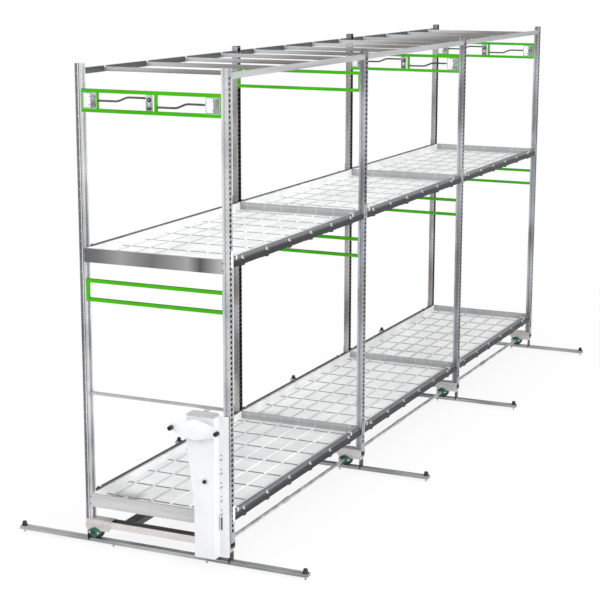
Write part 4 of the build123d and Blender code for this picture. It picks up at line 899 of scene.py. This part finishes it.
def makeBearings():
    earX = bearing.earX
    bolts = []
    for pieceName, x, nodeName in (("driveBearings", driveX, "drive_bearings"),
                                   ("idlerBearings", idlerX, "idler_bearings")):
        circles = [(x - earX, axleZ, bearing.earRadius), (x, axleZ, bearing.bodyRadius),
                   (x + earX, axleZ, bearing.earRadius)]
        castings = []
        for rowY in rowYs:
            for outward in (-1, 1):
                seat = rowY + outward * bearing.seat
                face = seat + outward * bearing.plate
                castings.append(plateShell(circles, seat, face, bearing.edge, 60))
                castings.append(turnedShell(bearing.boss, (x, seat, axleZ), "y", 40, outward))
                for boltX in (x - earX, x + earX):
                    bolts += [turnedShell(profile, (boltX, seat, axleZ), "y", sides, outward)
                              for sides, profile in bearing.bolt]
        makePiece(pieceName, castings, "rack", "bearing", [nodeName])
    makePiece("bearingBolts", bolts, "rack", "bolt", ["bearing_bolts"],
              smoothAngle=30)


makeBearings()
print("bearings made")

# Raising gear in the upper frames: folded boxes at both sides, a gear case in the middle, and
# cranked rods between them
gear = SimpleNamespace(
    rows=(0, 2, 3), front=-30 * mm, back=-7 * mm, wall=2 * mm, boxWidth=110 * mm, plateX=50 * mm,
    boltInset=7 * mm, pulleyShare=0.25, linkLeft=13 * mm, linkRight=12 * mm, linkBack=2 * mm,
    linkCurve=5 * mm, linkRadius=2.4 * mm, caseLeft=-34 * mm, caseRight=22 * mm, caseRise=1 * mm,
    caseCorner=5 * mm, caseEdge=2 * mm, collarShare=0.3, buttonX=-1 * mm, discShare=0.4,
    padHalf=15 * mm, padShares=(0.1, 0.2),
    # radius and distance forward of the face in millimetres
    pulley=[(15, -1), (15, 1), (13.6, 2), (12, 1), (9, 1), (8, 3.4), (1, 3.4)],
    plateBolt=[(6, -1), (6, 1), (4.6, 1.8), (1, 1.8)],
    collar=[(16, -1), (16, 3), (14.6, 5), (11, 5), (9.4, 1), (1, 1)],
    button=[(6.4, -1), (6.4, 6.6), (5, 8), (1, 8)], disc=[(10, -1), (10, 2), (8.6, 3), (1, 3)],
    rodRadius=7.5 * mm, rodY=-17.5 * mm, rodCurve=22 * mm, rodCrank=31 * mm, rodInset=6.5 * mm,
    leftRod=(-264 * mm, -189 * mm, -34 * mm), rightRod=(50 * mm, 205 * mm, 280 * mm))


def sideBoxShells(x0, x1, z0, z1, front, back):
    # Folded sheet box, open at the front, with a raised white plate on its left and the gear
    # plate on its right
    wall = gear.wall
    floorY = back - wall
    folded = [slabShell((x0, floorY, z0), (x1, back, z1))]
    folded += [slabShell((x, front, z0), (x + wall, floorY, z1)) for x in (x0, x1 - wall)]
    folded += [slabShell((x0 + wall, front, z), (x1 - wall, floorY, z + wall))
               for z in (z0, z1 - wall)]
    split = x1 - gear.plateX - wall
    folded.append(roundedBlock(x0 + 3 * wall, split, z0 + 3 * wall, z1 - 3 * wall, floorY,
                               front + wall, wall, wall))
    face = front + 3 * wall
    mechanism = [roundedBlock(split + wall, x1 - wall, z0 + wall, z1 - wall, floorY, face,
                              3 * wall, wall)]
    centreX = (split + x1) / 2
    middle = (z0 + z1) / 2
    reach = (z1 - z0) * gear.pulleyShare
    bolts = []
    for z in (middle - reach, middle + reach):
        mechanism.append(frontDisc(centreX, z, face, gear.pulley))
        bolts.append(frontDisc(split - gear.boltInset, z, front + wall, gear.plateBolt, 12))
    linkY = face - gear.linkBack
    left, right = centreX - gear.linkLeft, centreX + gear.linkRight
    link = [(left, linkY, middle - reach), ((left + right) / 2, linkY, middle),
            (right, linkY, middle + reach)]
    mechanism.append(sweptShell(roundedPath(link, gear.linkCurve), gear.linkRadius, 8))
    return folded, mechanism, bolts


def gearCaseShells(z0, z1, front, back):
    # A case with a knob in a dark ring above a flat disc and a dark pad, and a cheek at its right;
    # the ring and the pad are painted shade for a round hole and a slot
    left, right, half = gear.caseLeft, gear.caseRight, gear.padHalf
    height = z1 - z0
    middleX = (left + right) / 2
    face = front + gear.caseRise
    knobZ = z1 - height * gear.collarShare
    slotShadeLow, slotShadeTop = [z0 + height * share for share in gear.padShares]
    case = [roundedBlock(left, right, z0, z1, back, face, gear.caseCorner, gear.caseEdge)]
    collar = [frontDisc(middleX, knobZ, face, gear.collar),
              roundedBlock(middleX - half, middleX + half, slotShadeLow, slotShadeTop, back,
                           face - gear.caseRise, gear.caseCorner, gear.caseRise)]
    bright = [frontDisc(middleX + gear.buttonX, knobZ, face, gear.button),
              frontDisc(middleX, z0 + height * gear.discShare, face, gear.disc)]
    return case, collar, bright, [slabShell((right, front, z0), (-left, back, z1))]


def makeGear():
    low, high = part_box("hanger_boxes")
    z0, z1, outer = low[2], high[2], high[0]
    inner = outer - gear.boxWidth
    plates, mechanisms, bolts, dark = [], [], [], []
    for row in gear.rows:
        front, back = rowYs[row] + gear.front, rowYs[row] + gear.back
        for x0, x1 in ((-outer, -inner), (inner, outer)):
            folded, mechanism, boxBolts = sideBoxShells(x0, x1, z0, z1, front, back)
            plates += folded
            mechanisms += mechanism
            bolts += boxBolts
        case, collar, bright, cheek = gearCaseShells(z0, z1, front, back)
        mechanisms += case
        plates += cheek
        bolts += bright
        dark += collar
    makePiece("gearBoxPlates", plates, "rack", "whiteSteel", ["hanger_boxes"],
              bevel=0.6 * mm)
    makePiece("gearPlates", mechanisms, "rack", "gear", ["hanger_boxes"])
    makePiece("gearBolts", bolts, "rack", "bolt", ["hanger_boxes"])
    # Black ring and pad: painted shade for the hole round the knob and for the slot below it
    makePiece("gearCollars", dark, "rack", "screw", ["hanger_boxes"])


def makeRods():
    # A round bar carried along a path of straight runs with one crank; every corner is a curve
    low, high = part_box("hanger_rods")
    leftZ, rightZ = high[2] - gear.rodInset, low[2] + gear.rodInset
    a, b, c = gear.leftRod
    d, e, f = gear.rightRod
    crank = gear.rodCrank
    paths = [[(low[0], leftZ - crank), (a, leftZ - crank), (b, leftZ), (c, leftZ)],
             [(d, rightZ), (e, rightZ), (f, rightZ + crank), (high[0], rightZ + crank)]]
    shells = []
    for row in gear.rows:
        for path in paths:
            points = [(x, rowYs[row] + gear.rodY, z) for x, z in path]
            bar = roundedPath(points, gear.rodCurve, 7)
            shells.append(sweptShell(bar, gear.rodRadius, 14))
    makePiece("crankedRods", shells, "rack", "rod", ["hanger_rods"])


makeGear()
makeRods()
print("raising gear made")

# Handle: a rounded rhombus plate, the band round four circles, with ribbed grips on domed pins
handle = SimpleNamespace(
    armX=183 * mm, armRadius=28 * mm, crownZ=47 * mm, crownRadius=30 * mm, back=-159 * mm,
    front=-165 * mm, gripFront=-208.7 * mm, edge=1.6 * mm,
    # radius and distance from the face in millimetres, and the sizes of the grips
    hub=[(25, -2), (25, 2), (24, 3.4), (20.6, 3.6), (20.4, 4.4), (19.4, 4.9), (10, 4.9),
         (9, 4.3), (1, 4.3)],
    backHub=[(1, 0), (24, 0), (25, 1), (25, 30), (1, 30)],
    pinHead=[(1, 3.2), (4, 3.2), (5, 2.2), (7.4, 2.4), (8.6, 1.8), (9, 0.6), (9, 0.2), (5, 0.2),
             (5, -43)],
    pinCollar=[(5, 4.4), (9, 4.4), (9, 0.2), (5, 0.2)], pinNut=[(1, 0), (9, 0), (9, 5), (1, 5)],
    gripLength=39.0, gripRadius=16.5, gripMouth=[(5.1, 1.5), (9.4, 1.2), (10.4, 0)], gripRound=3.5,
    ribCount=4, ribDepth=0.9)


def gripProfile():
    # A barrel with ribs and rounded ends: along the grip,
    # radius = R - depth * (1 - cos(ribs)) / 2 - round * (1 - sqrt(1 - turn^2))
    length, rounding = handle.gripLength, handle.gripRound
    along = np.linspace(0, length, 41)
    rib = handle.ribDepth * (1 - np.cos(fullTurn * handle.ribCount * along / length)) / 2
    ends = np.minimum(along, length - along)
    turn = np.clip(1 - ends / rounding, 0, 1)
    radius = handle.gripRadius - rib * (ends > rounding)
    radius = radius - rounding * (1 - np.sqrt(1 - turn ** 2))
    return handle.gripMouth + list(zip(radius, along)) + [(5.1, length)]


def makeHandle():
    armX, crownZ = handle.armX, handle.crownZ
    back, front = frontY + handle.back, frontY + handle.front
    gripFront = frontY + handle.gripFront
    circles = [(hubX + side * armX, hubZ, handle.armRadius) for side in (-1, 1)]
    circles += [(hubX, hubZ + side * crownZ, handle.crownRadius) for side in (-1, 1)]
    shells = [plateShell(circles, back, front, handle.edge, 160),
              frontDisc(hubX, hubZ, front, handle.hub, 40),
              turnedShell(handle.backHub, (hubX, back, hubZ), "y", 40)]
    makePiece("handlePlate", shells, "handle", "handle", ["handle_plate"])
    pins = []
    for side, hand in ((-1, "left"), (1, "right")):
        x = hubX + side * armX
        grip = turnedShell(gripProfile(), (x, gripFront, hubZ), "y", 48)
        makePiece(hand + "Grip", [grip], hand + "_grip", "grip", ["grip_" + hand])
        pins.append(frontDisc(x, hubZ, gripFront, handle.pinHead))
        pins.append(frontDisc(x, hubZ, front, handle.pinCollar))
        pins.append(turnedShell(handle.pinNut, (x, back, hubZ), "y", 6))
    makePiece("gripPins", pins, "handle", "screw", ["grip_pins"], smoothAngle=30)


makeHandle()

# Lock knob: a lobed grip, radius = R - depth * (1 + cos(lobes * angle)) / 2, domed at its face
lockKnob = SimpleNamespace(
    radius=15.0, lobes=6, lobeDepth=1.8,
    # share of the radius and distance behind the front face in millimetres
    profile=[(0.06, 0), (0.5, 0.1), (0.8, 0.7), (0.93, 2), (1.0, 4.4), (1.0, 14), (0.92, 17),
             (0.66, 19.7), (0.06, 19.7)],
    pin=[(1, 19), (5, 19), (5, 48), (1, 48)])


def makeLockKnob():
    low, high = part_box("lock_knob")
    centreX, centreZ = (low[0] + high[0]) / 2, (low[2] + high[2]) / 2
    share, along = np.array(lockKnob.profile).T[:, :, None]
    angle = roundAngles(96)[None, :]
    lobe = lockKnob.lobeDepth * (1 + np.cos(lockKnob.lobes * angle)) / 2
    radius = share * (lockKnob.radius - lobe * np.clip(share * 2 - 1, 0, 1))
    grid = np.stack([centreX + radius * np.cos(angle) * mm, low[1] + (along + 0 * angle) * mm,
                     centreZ + radius * np.sin(angle) * mm], axis=2)
    pin = turnedShell(lockKnob.pin, (centreX, low[1], centreZ), "y", 20)
    makePiece("lockKnob", [gridShell(grid), pin], "lock", "grip", ["lock_knob"])


makeLockKnob()
print("handle and lock knob made")

# Dark plates just inside the column's right wall, behind its marks and its slot: painted shade for
# the dark inside of the column
columnShadePlates = SimpleNamespace(
    faceX=520.1 * mm, thickness=1.0 * mm, middleY=-50 * mm,
    # half width, bottom and top of each
    plates=[(13 * mm, 392 * mm, 856 * mm), (11 * mm, 278 * mm, 392 * mm)])

# Thin dark marks on the column's side flange: a round one over a slanted one, five times, and a
# strip
flangeDarkMarks = SimpleNamespace(
    x=541 * mm, front=-45.0 * mm, back=-44.3 * mm, edge=0.2 * mm, top=844 * mm, pitch=102 * mm,
    count=5, radius=4.5 * mm, tailDrop=33 * mm, tailHalf=9 * mm, tailRadius=3 * mm, tailTurn=35,
    stripLow=292 * mm, stripTop=378 * mm, stripRadius=6 * mm)


def makeColumnInserts():
    x, y = columnShadePlates.faceX, frontY + columnShadePlates.middleY
    shells = [slabShell((x - columnShadePlates.thickness, y - half, low), (x, y + half, top))
              for half, low, top in columnShadePlates.plates]
    makePiece("columnSideInserts", shells, "rack", "grip", bevel=0.3 * mm)


def makeFlangePlugs():
    x = flangeDarkMarks.x
    front, back = frontY + flangeDarkMarks.front, frontY + flangeDarkMarks.back
    turn = math.radians(flangeDarkMarks.tailTurn)
    reachX = flangeDarkMarks.tailHalf * math.sin(turn)
    reachZ = flangeDarkMarks.tailHalf * math.cos(turn)
    outlines = []
    for i in range(flangeDarkMarks.count):
        z = flangeDarkMarks.top - i * flangeDarkMarks.pitch
        tailZ = z - flangeDarkMarks.tailDrop
        outlines.append((20, [(x, z, flangeDarkMarks.radius)]))
        outlines.append((24, [(x + side * reachX, tailZ + side * reachZ, flangeDarkMarks.tailRadius)
                              for side in (-1, 1)]))
    outlines.append((24, [(x, z, flangeDarkMarks.stripRadius)
                          for z in (flangeDarkMarks.stripLow, flangeDarkMarks.stripTop)]))
    shells = [plateShell(circles, back, front, flangeDarkMarks.edge, count, 2)
              for count, circles in outlines]
    makePiece("columnFlangePlugs", shells, "rack", "grip")


makeColumnInserts()
makeFlangePlugs()
print("column inserts made")
